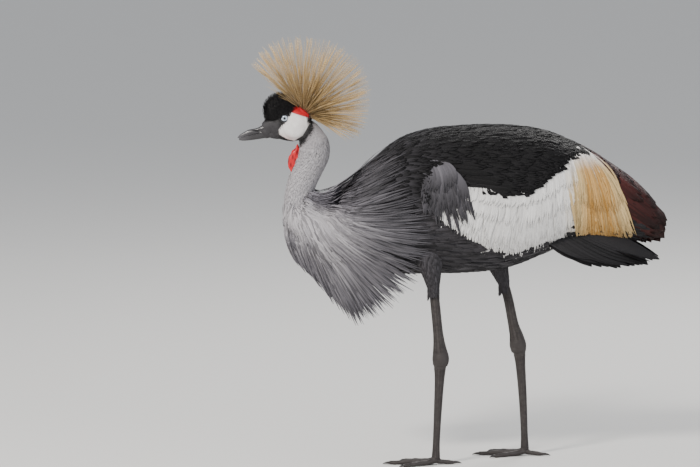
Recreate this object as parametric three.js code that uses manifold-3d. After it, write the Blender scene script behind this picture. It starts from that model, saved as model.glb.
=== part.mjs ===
// A life-size grey crowned crane, standing in a slow walking pose with its neck drawn back in an S.
// Units are millimetres, +Z is up, the floor is z = 0. The bird faces -X and its left side faces -Y.
// Each mesh is one named part of the bird; a small gap between neighbours keeps each a solid of its own.
import * as THREE from "three";
import { mergeVertices } from "three/addons/utils/BufferGeometryUtils.js";
import Module from "manifold-3d";

const wasm = await Module();
wasm.setup();
const { Manifold } = wasm;

// Driving dimensions
const GAP = 0.3; // between parts that touch
const TARSUS_HEIGHT_LEFT = 203; // floor to the middle of the ankle, on the forward leg
const TARSUS_HEIGHT_RIGHT = 215; // the hind leg stands a little straighter
const SEED = 7;

// Small helpers

let state = SEED;
const random = () => {
  state = (state * 1664525 + 1013904223) % 4294967296;
  return state / 4294967296;
};
const spread = (amount) => (random() * 2 - 1) * amount;
const V = (x, y, z) => new THREE.Vector3(x, y, z);
const lerp = (a, b, t) => a + (b - a) * t;
const clamp = (v, low, high) => Math.min(high, Math.max(low, v));
const radians = THREE.MathUtils.degToRad;

// A smooth value between named stations: rows are [x, value, value, ...].
function stationAt(rows, x) {
  const last = rows.length - 1;
  if (x <= rows[0][0]) return rows[0].slice(1);
  if (x >= rows[last][0]) return rows[last].slice(1);
  let i = 0;
  while (rows[i + 1][0] < x) i += 1;
  const [a, b] = [rows[i], rows[i + 1]];
  const before = rows[Math.max(0, i - 1)];
  const after = rows[Math.min(last, i + 2)];
  const span = b[0] - a[0];
  const t = (x - a[0]) / span;
  return a.slice(1).map((_, k) => {
    const c = k + 1;
    const m0 = i === 0 ? b[c] - a[c] : ((b[c] - before[c]) * span) / (b[0] - before[0]);
    const m1 = i + 1 === last ? b[c] - a[c] : ((after[c] - a[c]) * span) / (after[0] - a[0]);
    const t2 = t * t;
    const t3 = t2 * t;
    return (
      (2 * t3 - 3 * t2 + 1) * a[c] + (t3 - 2 * t2 + t) * m0 + (3 * t2 - 2 * t3) * b[c] + (t3 - t2) * m1
    );
  });
}

// Closed surface through rings of points, with a point at each end. A thin vane has its quads split alike on
// its upper and lower face, so that the two never cross where it bends.
function ringsGeometry(rings, startPoint, endPoint, alike = false) {
  const n = rings[0].length;
  const position = [];
  const index = [];
  for (const ring of rings) for (const p of ring) position.push(p.x, p.y, p.z);
  for (let r = 0; r + 1 < rings.length; r += 1) {
    for (let i = 0; i < n; i += 1) {
      const a = r * n + i;
      const b = r * n + ((i + 1) % n);
      if (alike && i % 2 === 1) index.push(a, b, a + n, b, b + n, a + n);
      else index.push(a, b, b + n, a, b + n, a + n);
    }
  }
  const first = rings.length * n;
  position.push(startPoint.x, startPoint.y, startPoint.z, endPoint.x, endPoint.y, endPoint.z);
  const top = (rings.length - 1) * n;
  for (let i = 0; i < n; i += 1) {
    const j = (i + 1) % n;
    index.push(first, j, i, first + 1, top + i, top + j);
  }
  const geometry = new THREE.BufferGeometry();
  geometry.setAttribute("position", new THREE.Float32BufferAttribute(position, 3));
  geometry.setIndex(index);
  return geometry;
}

// A three.js geometry as a manifold-3d solid, turned right side out if its rings ran the other way.
function solid(geometry) {
  const bare = geometry.clone();
  for (const name of Object.keys(bare.attributes)) if (name !== "position") bare.deleteAttribute(name);
  const merged = mergeVertices(bare, 1e-4);
  const vertProperties = new Float32Array(merged.attributes.position.array);
  const triVerts = new Uint32Array(merged.index.array);
  const build = () => new Manifold(new wasm.Mesh({ numProp: 3, vertProperties, triVerts }));
  const made = build();
  if (made.volume() >= 0) return made;
  for (let i = 0; i < triVerts.length; i += 3) {
    [triVerts[i + 1], triVerts[i + 2]] = [triVerts[i + 2], triVerts[i + 1]];
  }
  return build();
}

const mirrorY = (made) => made.mirror([0, 1, 0]);
const join = (list) => (list.length === 1 ? list[0] : Manifold.union(list));

// A node keeps its largest closed surface.
function largest(made) {
  const pieces = made.decompose().sort((a, b) => b.volume() - a.volume());
  return pieces[0];
}

function ellipsoid(centre, radii, tiltY = 0, wide = 12, high = 8) {
  const geometry = new THREE.SphereGeometry(1, wide, high);
  geometry.scale(radii.x, radii.y, radii.z);
  geometry.rotateY(radians(tiltY));
  geometry.translate(centre.x, centre.y, centre.z);
  return solid(geometry);
}

// Round or oval tube through stations [x, y, z, halfHeight, halfWidth], with both halves grown by the same amount.
// The height is measured square to the path in the side view.
function tube(stations, { sides = 16, steps = 24, grow = 0, from = 0, to = 1 } = {}) {
  const rows = stations.map((s, i) => [i / (stations.length - 1), ...s]);
  const at = (t) => stationAt(rows, t);
  const rings = [];
  for (let k = 0; k <= steps; k += 1) {
    const t = lerp(from, to, k / steps);
    const [x, y, z, h, w] = at(t);
    const [ax, ay, az] = at(Math.max(0, t - 0.004));
    const [bx, by, bz] = at(Math.min(1, t + 0.004));
    const along = V(bx - ax, by - ay, bz - az).normalize();
    const side = V(0, 1, 0).addScaledVector(along, -along.y).normalize();
    const up = along.clone().cross(side).normalize();
    const ring = [];
    for (let i = 0; i < sides; i += 1) {
      const a = (i / sides) * Math.PI * 2;
      ring.push(
        V(x, y, z)
          .addScaledVector(up, Math.cos(a) * (h + grow))
          .addScaledVector(side, Math.sin(a) * (w + grow)),
      );
    }
    rings.push({ ring, along, h, centre: V(x, y, z) });
  }
  const start = rings[0];
  const end = rings[rings.length - 1];
  const bulge = 0.35;
  return solid(
    ringsGeometry(
      rings.map((r) => r.ring),
      start.centre.clone().addScaledVector(start.along, -(start.h * bulge + grow)),
      end.centre.clone().addScaledVector(end.along, end.h * bulge + grow),
    ),
  );
}

// The plumage outline of the body, wings folded: x, top, bottom, half width.
const PLUMAGE = [
  [-222, 452, 392, 38],
  [-195, 510, 372, 60],
  [-160, 566, 362, 76],
  [-134, 591, 358, 84],
  [-96, 618, 356, 92],
  [-40, 636, 357, 98],
  [40, 643, 359, 99],
  [108, 643, 368, 97],
  [176, 634, 394, 90],
  [219, 618, 413, 82],
  [260, 598, 421, 70],
  [300, 573, 420, 58],
  [345, 541, 420, 44],
  [380, 507, 421, 30],
  [402, 474, 426, 17],
];
const WIDEST_LEVEL = 0.56; // share of the height at which the body is widest

// A point on the plumage surface, or depth below it. The angle runs from 0 at the top to 180 at the belly,
// negative on the bird's left side.
function bodyPoint(x, angle, depth = 0) {
  const [top, bottom, half] = stationAt(PLUMAGE, x);
  const level = lerp(bottom, top, WIDEST_LEVEL);
  const a = radians(angle);
  const c = Math.cos(a);
  const up = Math.max(1, (c > 0 ? top - level : level - bottom) - depth);
  return V(x, Math.sin(a) * Math.max(1, half - depth), level + c * up);
}

// The nearest point at a depth below the plumage, measured square to the body's axis.
function settle(p, depth) {
  const [top, bottom, half] = stationAt(PLUMAGE, p.x);
  const level = lerp(bottom, top, WIDEST_LEVEL);
  const rise = p.z > level ? top - level : level - bottom;
  return bodyPoint(p.x, THREE.MathUtils.radToDeg(Math.atan2(p.y / half, (p.z - level) / rise)), depth);
}

// The angle on the body at which a point seen from the side lies.
function angleAt(x, z) {
  const [top, bottom] = stationAt(PLUMAGE, x);
  const level = lerp(bottom, top, WIDEST_LEVEL);
  const share = z > level ? (z - level) / (top - level) : (z - level) / (level - bottom);
  return THREE.MathUtils.radToDeg(Math.acos(clamp(share, -1, 1)));
}

const seen = (line) => line.map(([x, z]) => [x, angleAt(x, z)]);

// The body as a solid, its surface depth below the plumage, from one x to another.
function bodySolid(depth, { from = -222, to = 402, sides = 20, steps = 16 } = {}) {
  const rings = [];
  for (let k = 0; k <= steps; k += 1) {
    const x = lerp(from, to, k / steps);
    rings.push(Array.from({ length: sides }, (_, i) => bodyPoint(x, (i / sides) * 360, depth)));
  }
  const middle = (x) => {
    const [top, bottom] = stationAt(PLUMAGE, x);
    return lerp(bottom, top, WIDEST_LEVEL);
  };
  return solid(ringsGeometry(rings, V(from - 12, 0, middle(from)), V(to + 4, 0, middle(to))));
}

// A prism square to the side view, between two depths in y.
function sidePrism(outline, yFrom, yTo) {
  const shape = new THREE.Shape(outline.map(([x, z]) => new THREE.Vector2(x, z)));
  const geometry = new THREE.ExtrudeGeometry(shape, { depth: yTo - yFrom, bevelEnabled: false });
  geometry.rotateX(Math.PI / 2);
  geometry.translate(0, yTo, 0);
  return solid(geometry);
}

// Feathers

// A flat tapered vane along a list of stations, each a point and the outward direction there.
// Its section is a thin lozenge, thickest at the shaft, with its edges set down on the layer below.
function vane(stations, { width, root = 0.26, tip = 0.2, thick = 1, broad = 0.5 }, setEdge = (p) => p) {
  const n = stations.length;
  const share = (t) => {
    if (t < broad) return lerp(root, 1, Math.sin((t / broad) * (Math.PI / 2)));
    return lerp(1, tip, ((t - broad) / (1 - broad)) ** 1.6);
  };
  const rings = stations.map(({ point, up, t }, i) => {
    const ahead = stations[Math.min(n - 1, i + 1)].point;
    const along = ahead.clone().sub(stations[Math.max(0, i - 1)].point).normalize();
    const normal = up.clone().addScaledVector(along, -up.dot(along)).normalize();
    const side = along.clone().cross(normal);
    const half = (width * share(t)) / 2;
    const h = (thick * lerp(1, 0.6, t)) / 2;
    return [
      setEdge(point.clone().addScaledVector(side, half), t),
      point.clone().addScaledVector(normal, h),
      setEdge(point.clone().addScaledVector(side, -half), t),
      point.clone().addScaledVector(normal, -h),
    ];
  });
  const last = stations[n - 1].point;
  const reach = last.clone().sub(stations[n - 2].point).normalize();
  const first = stations[0].point;
  const back = first.clone().addScaledVector(stations[1].point.clone().sub(first).normalize(), -1);
  return solid(ringsGeometry(rings, back, last.clone().addScaledVector(reach, width * tip * 0.6), true));
}

// A point at share u of a list of points.
function alongLine(line, u) {
  const place = clamp(u, 0, 1) * (line.length - 1);
  const i = Math.floor(place);
  const next = line[Math.min(line.length - 1, i + 1)];
  return line[i].map((v, k) => lerp(v, next[k], place - i));
}

// A tier of vanes on the body. Roots and tips are lines of [x, angle]; each vane starts at depth sink, lies at depth
// rest and lifts towards its tip. Neighbours step down in turn, so that one lies over the other: every second
// one, or each by a step more where the tier is a fan.
function tier(row, side) {
  const { roots, tips, count, width, sink, rest, lift, shape } = row;
  const { step = 0, fan = false, bow = 0, cuts = [0, 0.22, 0.6, 1] } = row;
  return Array.from({ length: count }, (_, i) => {
    const u = (i + 0.5) / count;
    const [rootX, rootAngle] = alongLine(roots, u);
    const [tipX, tipAngle] = alongLine(tips, u);
    const stretch = 1 + spread(0.04);
    const under = (fan ? i : i % 2) * step;
    const depthAt = (t) => {
      if (t < cuts[1]) return lerp(sink, rest + under, t / cuts[1]);
      return lerp(rest + under, lift + under, ((t - cuts[1]) / (1 - cuts[1])) ** 1.5);
    };
    const stations = cuts.map((t) => {
      const x = lerp(rootX, tipX, t * stretch);
      const angle = (lerp(rootAngle, tipAngle, t * stretch) + bow * Math.sin(t * Math.PI)) * side;
      const point = bodyPoint(x, angle, depthAt(t));
      return { point, up: bodyPoint(x, angle, depthAt(t) - 5).sub(point), t };
    });
    return vane(stations, { width, ...shape }, (p, t) => settle(p, depthAt(t) + 0.3));
  });
}

// Cut pieces: a thin slab across a path, which leaves a gap between the two parts it divides.
function slab(centre, normal, size) {
  const geometry = new THREE.BoxGeometry(size, size, GAP);
  geometry.applyQuaternion(new THREE.Quaternion().setFromUnitVectors(V(0, 0, 1), normal.clone().normalize()));
  geometry.translate(centre.x, centre.y, centre.z);
  return solid(geometry);
}

// Head: skull, the cap's bulge, lids, bill and eyes
const SKULL = [
  [-353, 0, 632, 14, 9],
  [-340, 0, 638, 20, 13],
  [-324, 0, 640, 27, 18],
  [-305, 0, 643, 33, 22],
  [-287, 0, 647, 32, 23],
  [-272, 0, 649, 23, 18],
];
const CAP = { centre: V(-321, 0, 673), radii: V(36, 20, 31), tilt: -20 };
const EYE = { x: -315, y: 12.5, z: 656, radius: 7.5 };
const LID = { radius: 7.9, thickness: 1.3, y: 17.2 };

const headForm = (grow) =>
  join([
    tube(SKULL, { sides: 14, steps: 8, grow }),
    ellipsoid(CAP.centre, CAP.radii.clone().addScalar(grow), CAP.tilt, 14, 9),
  ]);

const eyeBall = (side, grow = 0) =>
  ellipsoid(V(EYE.x, side * EYE.y, EYE.z), V(1, 1, 1).multiplyScalar(EYE.radius + grow), 0, 12, 8);

function lidRing(side) {
  const geometry = new THREE.TorusGeometry(LID.radius, LID.thickness, 5, 12);
  geometry.rotateX(Math.PI / 2);
  geometry.translate(EYE.x, side * LID.y, EYE.z);
  return solid(geometry);
}

const UPPER_BILL = [
  [-340, 0, 636, 10, 9],
  [-353, 0, 634, 9, 8],
  [-368, 0, 629, 6.8, 6.5],
  [-383, 0, 626, 6.2, 5.4],
  [-396, 0, 621, 4.2, 3.6],
  [-404, 0, 616.5, 1.5, 1.3],
];
const LOWER_BILL = [
  [-340, 0, 622, 6, 7.5],
  [-353, 0, 621, 5.4, 6.6],
  [-368, 0, 619.4, 4.8, 5.2],
  [-383, 0, 617.4, 4.2, 4.2],
  [-394, 0, 615, 2.6, 2.8],
  [-401, 0, 613.6, 1, 1],
];
const NOSTRIL = { centre: V(-366, 0, 630.5), radii: V(6, 20, 1.7), tilt: -14 };

// Neck, from inside the head to inside the chest
const NECK = [
  [-281, 0, 640, 22, 18],
  [-264, 0, 617, 28, 23],
  [-259, 0, 590, 30, 24.5],
  [-270, 0, 561, 28.5, 24],
  [-282, 0, 533, 27.5, 24],
  [-288, 0, 504, 27.5, 25],
  [-286, 0, 476, 31, 28],
  [-271, 0, 449, 38, 34],
  [-236, 0, 431, 46, 43],
  [-188, 0, 436, 58, 58],
  [-125, 0, 457, 76, 72],
];
const NECK_CUTS = [
  { at: V(-284, 0, 527), normal: V(0.22, 0, 1), size: 110 },
  { at: V(-247, 0, 434), normal: V(1, 0, -0.3), size: 190 },
];
const CORE_DEPTH = 12;
const CORE = { from: -200, to: 330 };

// Legs: centre lines with half thickness seen from the side and from the front
const LEFT_LEG = {
  side: "left",
  thigh: [
    [-44, -45, 420, 34, 25],
    [-38, -49, 375, 21, 18],
    [-33, -52, 338, 11, 11],
  ],
  shank: [
    [-33, -52, 338, 9, 8],
    [-29, -53, 300, 9, 7.5],
    [-24, -54, 250, 9.5, 8],
    [-21, -55, 222, 12.5, 10],
    [-19, -55.5, TARSUS_HEIGHT_LEFT, 16, 13],
    [-20, -56, TARSUS_HEIGHT_LEFT - 14, 14, 11.5],
  ],
  tarsus: [
    [-20, -56, TARSUS_HEIGHT_LEFT - 14, 13.5, 11],
    [-21, -56.5, TARSUS_HEIGHT_LEFT - 35, 9.5, 8.5],
    [-24, -58, 110, 7.6, 7],
    [-27, -59, 45, 6.6, 6.4],
    [-28, -60, 12, 8, 8],
  ],
  foot: V(-28, -60, 0),
};
const RIGHT_LEG = {
  side: "right",
  thigh: [
    [72, 45, 420, 34, 25],
    [90, 48, 372, 20, 17],
    [103, 50, 334, 10.5, 10.5],
  ],
  shank: [
    [103, 50, 334, 9, 8],
    [112, 51, 300, 9, 7.5],
    [121, 53, 255, 10, 8],
    [127, 54, 232, 13, 10.5],
    [130, 55, TARSUS_HEIGHT_RIGHT, 16, 13],
    [132, 55.5, TARSUS_HEIGHT_RIGHT - 14, 14, 11.5],
  ],
  tarsus: [
    [132, 55.5, TARSUS_HEIGHT_RIGHT - 14, 13.5, 11],
    [135, 56, TARSUS_HEIGHT_RIGHT - 36, 9.5, 8.5],
    [140, 58, 110, 7.6, 7],
    [143, 59, 45, 6.6, 6.4],
    [144, 60, 12, 8, 8],
  ],
  foot: V(144, 60, 0),
};
// Toes: direction from straight ahead, length, half thickness at the root and tip, claw length
const TOES = {
  inner: { turn: 30, length: 68, root: 5.2, tip: 3.6, claw: 12 },
  middle: { turn: 0, length: 88, root: 5.6, tip: 3.8, claw: 14 },
  outer: { turn: -32, length: 72, root: 5.2, tip: 3.6, claw: 12 },
  hind: { turn: 168, length: 36, root: 4.8, tip: 3.4, claw: 15 },
};

function toeLine(leg, toe) {
  const outward = leg.side === "left" ? 1 : -1;
  const a = radians(180 - toe.turn * outward);
  return V(Math.cos(a), Math.sin(a), 0);
}

function toePath(leg, toe) {
  const ahead = toeLine(leg, toe);
  const at = (distance, height, h) => {
    const p = leg.foot.clone().addScaledVector(ahead, distance);
    return [p.x, p.y, height, h, h];
  };
  return [
    at(0, 9, toe.root * 1.25),
    at(toe.length * 0.25, 5.6, toe.root),
    at(toe.length * 0.6, toe.root * 0.88, toe.root * 0.92),
    at(toe.length * 0.85, toe.tip * 0.9, toe.tip * 1.05),
    at(toe.length, toe.tip * 0.88, toe.tip),
  ];
}

function clawPath(leg, toe) {
  const ahead = toeLine(leg, toe);
  const at = (distance, height, h) => {
    const p = leg.foot.clone().addScaledVector(ahead, toe.length + distance);
    return [p.x, p.y, height, h, h * 0.8];
  };
  return [
    at(-2, 3.4, 2.9),
    at(toe.claw * 0.4, 3.5, 2.3),
    at(toe.claw * 0.75, 2.6, 1.4),
    at(toe.claw, 1.2, 0.5),
  ];
}
const floor = sidePrism([[-500, -60], [500, -60], [500, 0], [-500, 0]], -300, 300);

// Crest: stiff feathers that fan out about an axis leaning back, from a low mound on the hind crown
const CREST = {
  mound: { centre: V(-276, 0, 667), radii: V(21, 12, 10), tilt: 42 },
  lean: 31,
  count: 48,
  halfFan: 80,
  halfWide: 56,
  thick: 1.3,
};
// Distance of the tips from the mound's middle, by the angle ahead of the axis
const CREST_REACH = [
  [-84, 98],
  [-56, 116],
  [-35, 130],
  [-8, 148],
  [22, 143],
  [58, 140],
  [80, 120],
];

// Wing: a thin pad over the side of the body, and vanes in tiers that root in it
const PAD = {
  depth: 9.6,
  outline: [
    [-58, 500],
    [-54, 560],
    [0, 578],
    [150, 590],
    [200, 584],
    [252, 558],
    [262, 500],
    [236, 446],
    [170, 430],
    [60, 470],
    [-30, 490],
  ],
};
const IN_PAD = { sink: 10.8, step: 1.1 };
const WING_TIERS = {
  tertials: {
    ...IN_PAD,
    rest: 5.6,
    lift: 2.4,
    step: 0.95,
    fan: true,
    roots: seen([[222, 566], [214, 540], [212, 512], [212, 480]]),
    tips: seen([[404, 470], [403, 448], [390, 436], [362, 431]]),
    count: 4,
    width: 38,
    bow: -5,
    cuts: [0, 0.18, 0.5, 0.8, 1],
    shape: { broad: 0.65, tip: 0.35 },
  },
  golden: {
    ...IN_PAD,
    rest: 3.8,
    lift: 0.8,
    roots: seen([[206, 536], [222, 552], [242, 552], [254, 544]]),
    tips: seen([[250, 440], [284, 432], [316, 436], [352, 458]]),
    count: 4,
    width: 36,
    bow: -4,
  },
  whiteLow: {
    ...IN_PAD,
    rest: 7.8,
    lift: 4.8,
    roots: seen([[-16, 504], [40, 486], [120, 474], [180, 478]]),
    tips: seen([[-14, 460], [62, 416], [128, 404], [214, 440]]),
    count: 5,
    width: 48,
    cuts: [0, 0.3, 1],
  },
  whiteTop: {
    ...IN_PAD,
    rest: 5.6,
    lift: 1,
    roots: seen([[-20, 540], [50, 542], [126, 546], [180, 562]]),
    tips: seen([[-22, 474], [40, 444], [132, 430], [226, 462]]),
    count: 5,
    width: 48,
  },
  greyLobe: {
    ...IN_PAD,
    rest: 3,
    lift: 0.8,
    roots: seen([[-40, 540], [-40, 548], [-26, 556], [-6, 560]]),
    tips: seen([[-38, 490], [-6, 488], [28, 486], [38, 502]]),
    count: 3,
    width: 36,
    cuts: [0, 0.35, 1],
  },
};

// Flight feathers that show below the wing at the back: [x, y, z] from root to tip, for the first and the last
const PRIMARIES = {
  count: 3,
  width: 26,
  first: [[188, -58, 446], [226, -56, 420], [272, -50, 396], [302, -46, 377]],
  last: [[206, -50, 452], [270, -46, 428], [340, -40, 402], [392, -35, 384]],
};

// Mantle, shoulder, breast and belly vanes, which root in the body: lines of [x, angle], top row first
const BODY_TIERS = [
  { roots: [[-192, 14], [190, 6]], tips: [[-90, 16], [282, 8]], count: 4, width: 44, rest: 1.6, lift: 0.3 },
  {
    roots: [[-196, 48], [-70, 34], [176, 24]],
    tips: [[-84, 58], [40, 54], [258, 34]],
    count: 4,
    width: 48,
    rest: 3.5,
    lift: 1.9,
  },
  { roots: [[-160, 80]], tips: [[-70, 92]], count: 1, width: 52, rest: 5.2, lift: 3.2 },
  { roots: [[-20, 44], [156, 38]], tips: [[88, 76], [238, 56]], count: 3, width: 48, rest: 5.2, lift: 3.2 },
  { roots: [[-164, 118]], tips: [[-88, 124]], count: 1, width: 46, rest: 5, lift: 2, cuts: [0, 0.3, 1] },
  {
    roots: [[-130, 172], [170, 172]],
    tips: [[-20, 172], [250, 174]],
    count: 2,
    width: 30,
    rest: 4,
    lift: 1,
    cuts: [0, 0.3, 1],
  },
].map((row) => ({ sink: 14, ...row }));

// Neck plumes: strands seen from the side, from their root in the lower neck to the tip, front first
const PLUMES = [
  [[-304, 478], [-312, 450], [-306, 412], [-286, 378]],
  [[-296, 464], [-292, 430], [-276, 384], [-250, 346]],
  [[-290, 462], [-272, 416], [-248, 362], [-220, 306]],
  [[-286, 464], [-252, 410], [-212, 340], [-175, 268]],
  [[-280, 468], [-232, 412], [-182, 350], [-132, 292]],
  [[-276, 474], [-216, 428], [-148, 380], [-76, 336]],
  [[-274, 480], [-202, 452], [-120, 426], [-36, 414]],
  [[-272, 486], [-208, 472], [-122, 474], [-40, 486]],
  [[-268, 492], [-218, 490], [-154, 520], [-92, 556]],
];
const PLUME = { width: 32, thick: 1.1, outside: 3.8, over: 1.9, swell: 4.6, higher: 13, hang: 0.72 };
// Layers of plumes: share of the way out to the side, range of strands, count
const PLUME_LAYERS = [
  { out: 1, from: 0, to: 1, count: 8 },
  { out: 0.5, from: 0.06, to: 0.5, count: 2 },
];
const MIDDLE_PLUMES = [{ out: 0, from: 0.02, to: 0.44, count: 2 }];

// Tail: narrow and folded, below the wings
const TAIL = {
  base: [
    [248, 0, 438, 4.4, 18],
    [268, 0, 429, 4, 19],
    [296, 0, 415, 2.2, 18],
  ],
  count: 5,
  width: 25,
  root: V(256, 9, 435),
  middle: V(316, 17, 409),
  tip: V(386, 22, 381),
};

// The parts, built from the inside out
const nodes = {};

const headGrown = headForm(GAP);
const neckTube = (grow, from = 0, to = 1) => tube(NECK, { sides: 16, steps: 20, grow, from, to });
const neckGrown = join([neckTube(GAP), headGrown]);
const coreSolid = (grow) => bodySolid(CORE_DEPTH - grow, { from: CORE.from - grow, to: CORE.to + grow });
const thighForm = (leg, grow) => tube(leg.thigh, { sides: 12, steps: 5, grow });
const thighsGrown = join([thighForm(LEFT_LEG, GAP), thighForm(RIGHT_LEG, GAP)]);

const cuts = join(NECK_CUTS.map((c) => slab(c.at, c.normal, c.size)));
const trunk = join([neckTube(0), coreSolid(0)]).subtract(headGrown).subtract(cuts);
const [torsoCore, neckLowerCore, neckUpper] = trunk
  .decompose()
  .filter((piece) => piece.volume() > 1000)
  .sort((a, b) => a.boundingBox().max[2] - b.boundingBox().max[2])
  .sort((a, b) => Number(b.volume() > 5e6) - Number(a.volume() > 5e6));

const eyesGrown = join([eyeBall(-1, GAP), eyeBall(1, GAP)]);
nodes.head = join([headForm(0), lidRing(-1), lidRing(1)]).subtract(eyesGrown);
nodes.eye_left = eyeBall(-1);
nodes.eye_right = eyeBall(1);

const nostril = ellipsoid(NOSTRIL.centre, NOSTRIL.radii, NOSTRIL.tilt, 8, 6);
const billForm = (stations, grow = 0) => tube(stations, { sides: 8, steps: 8, grow });
nodes.bill_upper = billForm(UPPER_BILL).subtract(headGrown).subtract(nostril);
nodes.bill_lower = billForm(LOWER_BILL).subtract(headGrown).subtract(billForm(UPPER_BILL, GAP));

const WATTLE_LOBES = [
  { centre: V(-295, 5, 574), radii: V(12, 7, 26), tilt: 14 },
  { centre: V(-295, -5, 574), radii: V(12, 7, 26), tilt: 14 },
];
const wattleLobes = WATTLE_LOBES.map((l) => ellipsoid(l.centre, l.radii, l.tilt, 9, 8));
nodes.throat_wattle = join(wattleLobes).subtract(neckGrown);

// A tapered spine of three sides, from inside the mound to its tip, drooping a little with its weight.
function bristle(root, direction, long, droop) {
  const side = V(0, 1, 0).cross(direction).normalize();
  const up = direction.clone().cross(side);
  const centre = (t) => root.clone().addScaledVector(direction, long * t).add(V(0, 0, -droop * t * t));
  const rings = [0, 0.45, 0.85].map((t) =>
    Array.from({ length: 3 }, (_, i) => {
      const a = (i / 3) * Math.PI * 2;
      const r = CREST.thick * lerp(1, 0.45, t);
      return centre(t).addScaledVector(side, Math.cos(a) * r).addScaledVector(up, Math.sin(a) * r);
    }),
  );
  return solid(ringsGeometry(rings, centre(-0.01), centre(1)));
}

// Tips are spread evenly over an oval cap about the leaning axis.
function crestForm() {
  const { centre, radii, tilt } = CREST.mound;
  const pieces = [ellipsoid(centre, radii, tilt, 12, 8)];
  const golden = Math.PI * (3 - Math.sqrt(5));
  for (let i = 0; i < CREST.count; i += 1) {
    const out = Math.sqrt((i + 0.6) / CREST.count);
    const turn = i * golden;
    const ahead = Math.cos(turn) * out * CREST.halfFan;
    const sway = Math.sin(turn) * out * CREST.halfWide;
    const across = Math.abs(sway) < 3 ? 0 : sway;
    if (across < 0) continue;
    const lean = radians(CREST.lean - ahead);
    const wide = radians(across);
    const level = Math.cos(wide);
    const direction = V(Math.sin(lean) * level, Math.sin(wide), Math.cos(lean) * level).normalize();
    const [reach] = stationAt(CREST_REACH, ahead);
    const root = centre.clone().addScaledVector(direction, 3);
    root.addScaledVector(V(0.74, 0, -0.67), -ahead * 0.19);
    root.y += (across / CREST.halfWide) * 8;
    const made = bristle(root, direction, reach * (1 + spread(0.05)) - 6, 5 + random() * 5);
    pieces.push(made);
    if (across > 0) pieces.push(mirrorY(made));
  }
  return join(pieces);
}
nodes.crest = crestForm().subtract(neckGrown);

// Tail
function tailForm() {
  const pieces = [tube(TAIL.base, { sides: 8, steps: 3 })];
  for (let i = 0; i < TAIL.count; i += 1) {
    const out = (i / (TAIL.count - 1)) * 2 - 1;
    const rise = (1 - Math.abs(out)) * 6 + (i % 2) * 1.4;
    const path = [TAIL.root, TAIL.middle, TAIL.tip].map((p, k) =>
      V(p.x - Math.abs(out) * 9 * k, p.y * out, p.z + rise - (k === 0 ? 5 : 2)),
    );
    const curve = new THREE.CatmullRomCurve3(path);
    const up = V(0.4, out * 0.5, 1);
    const stations = [0, 0.35, 0.7, 1].map((t) => ({ point: curve.getPoint(t), up, t }));
    pieces.push(vane(stations, { width: TAIL.width, broad: 0.75, tip: 0.5, thick: 1 }));
  }
  return join(pieces);
}
nodes.tail = tailForm().subtract(coreSolid(GAP));

// Wings
function primaryVanes() {
  return Array.from({ length: PRIMARIES.count }, (_, i) => {
    const u = i / (PRIMARIES.count - 1);
    const points = PRIMARIES.first.map((p, k) => V(...p).lerp(V(...PRIMARIES.last[k]), u));
    const curve = new THREE.CatmullRomCurve3(points);
    const stations = [0, 0.35, 0.7, 1].map((t) => ({ point: curve.getPoint(t), up: V(0.2, -1, 0.15), t }));
    return vane(stations, { width: PRIMARIES.width, broad: 0.75, tip: 0.45 });
  });
}

function wingForm() {
  const pad = bodySolid(PAD.depth, CORE)
    .subtract(coreSolid(GAP))
    .intersect(sidePrism(PAD.outline, -200, 0));
  const vanes = Object.values(WING_TIERS).flatMap((t) => tier(t, -1));
  return join([pad, ...vanes, ...primaryVanes()]).subtract(coreSolid(GAP)).trimByPlane([0, -1, 0], 0.8);
}
const wing = wingForm();
nodes.wing_left = wing.subtract(thighsGrown);
nodes.wing_right = mirrorY(wing).subtract(thighsGrown);

// Torso with its mantle, shoulder, breast and belly vanes
const bodyVanes = BODY_TIERS.flatMap((t) => [...tier(t, -1), ...tier(t, 1)]);
nodes.torso = join([torsoCore, ...bodyVanes]).subtract(thighsGrown);

// Neck
nodes.neck_upper = neckUpper;

// How far out the plumage reaches at a point of the side view; below the body it hangs like a curtain.
function curtainWidth(x, z) {
  const [top, bottom, half] = stationAt(PLUMAGE, x);
  const level = lerp(bottom, top, WIDEST_LEVEL);
  const lowest = (bottom - level) * PLUME.hang;
  const share = z > level ? (z - level) / (top - level) : Math.max(z - level, lowest) / (level - bottom);
  return half * Math.sqrt(1 - clamp(share, -1, 1) ** 2);
}

const NECK_PATH = Array.from({ length: 41 }, (_, k) => {
  const rows = NECK.map((s, i) => [i / (NECK.length - 1), ...s]);
  return stationAt(rows, k / 40);
});

const nearestOnNeck = (p) => {
  const away = (s) => Math.hypot(s[0] - p.x, s[2] - p.z);
  return NECK_PATH.reduce((a, b) => (away(a) < away(b) ? a : b));
};

// A point pushed out of the neck and the body's plumage to the given distance.
function outside(p, distance) {
  const q = p.clone();
  const [x, , z, high, wide] = nearestOnNeck(p);
  const share = Math.hypot(Math.hypot(x - q.x, z - q.z) / (high + distance), q.y / (wide + distance));
  const middle = V(x, 0, z);
  if (share < 1) q.sub(middle).divideScalar(Math.max(share, 0.2)).add(middle);
  if (q.x < PLUMAGE[0][0]) return q;
  const [top, bottom, half] = stationAt(PLUMAGE, q.x);
  const level = lerp(bottom, top, WIDEST_LEVEL);
  const rise = (q.z > level ? top - level : level - bottom) + distance;
  const bodyShare = Math.hypot(q.y / (half + distance), (q.z - level) / rise);
  if (bodyShare < 1) q.set(q.x, q.y / bodyShare, level + (q.z - level) / bodyShare);
  return q;
}

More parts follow.
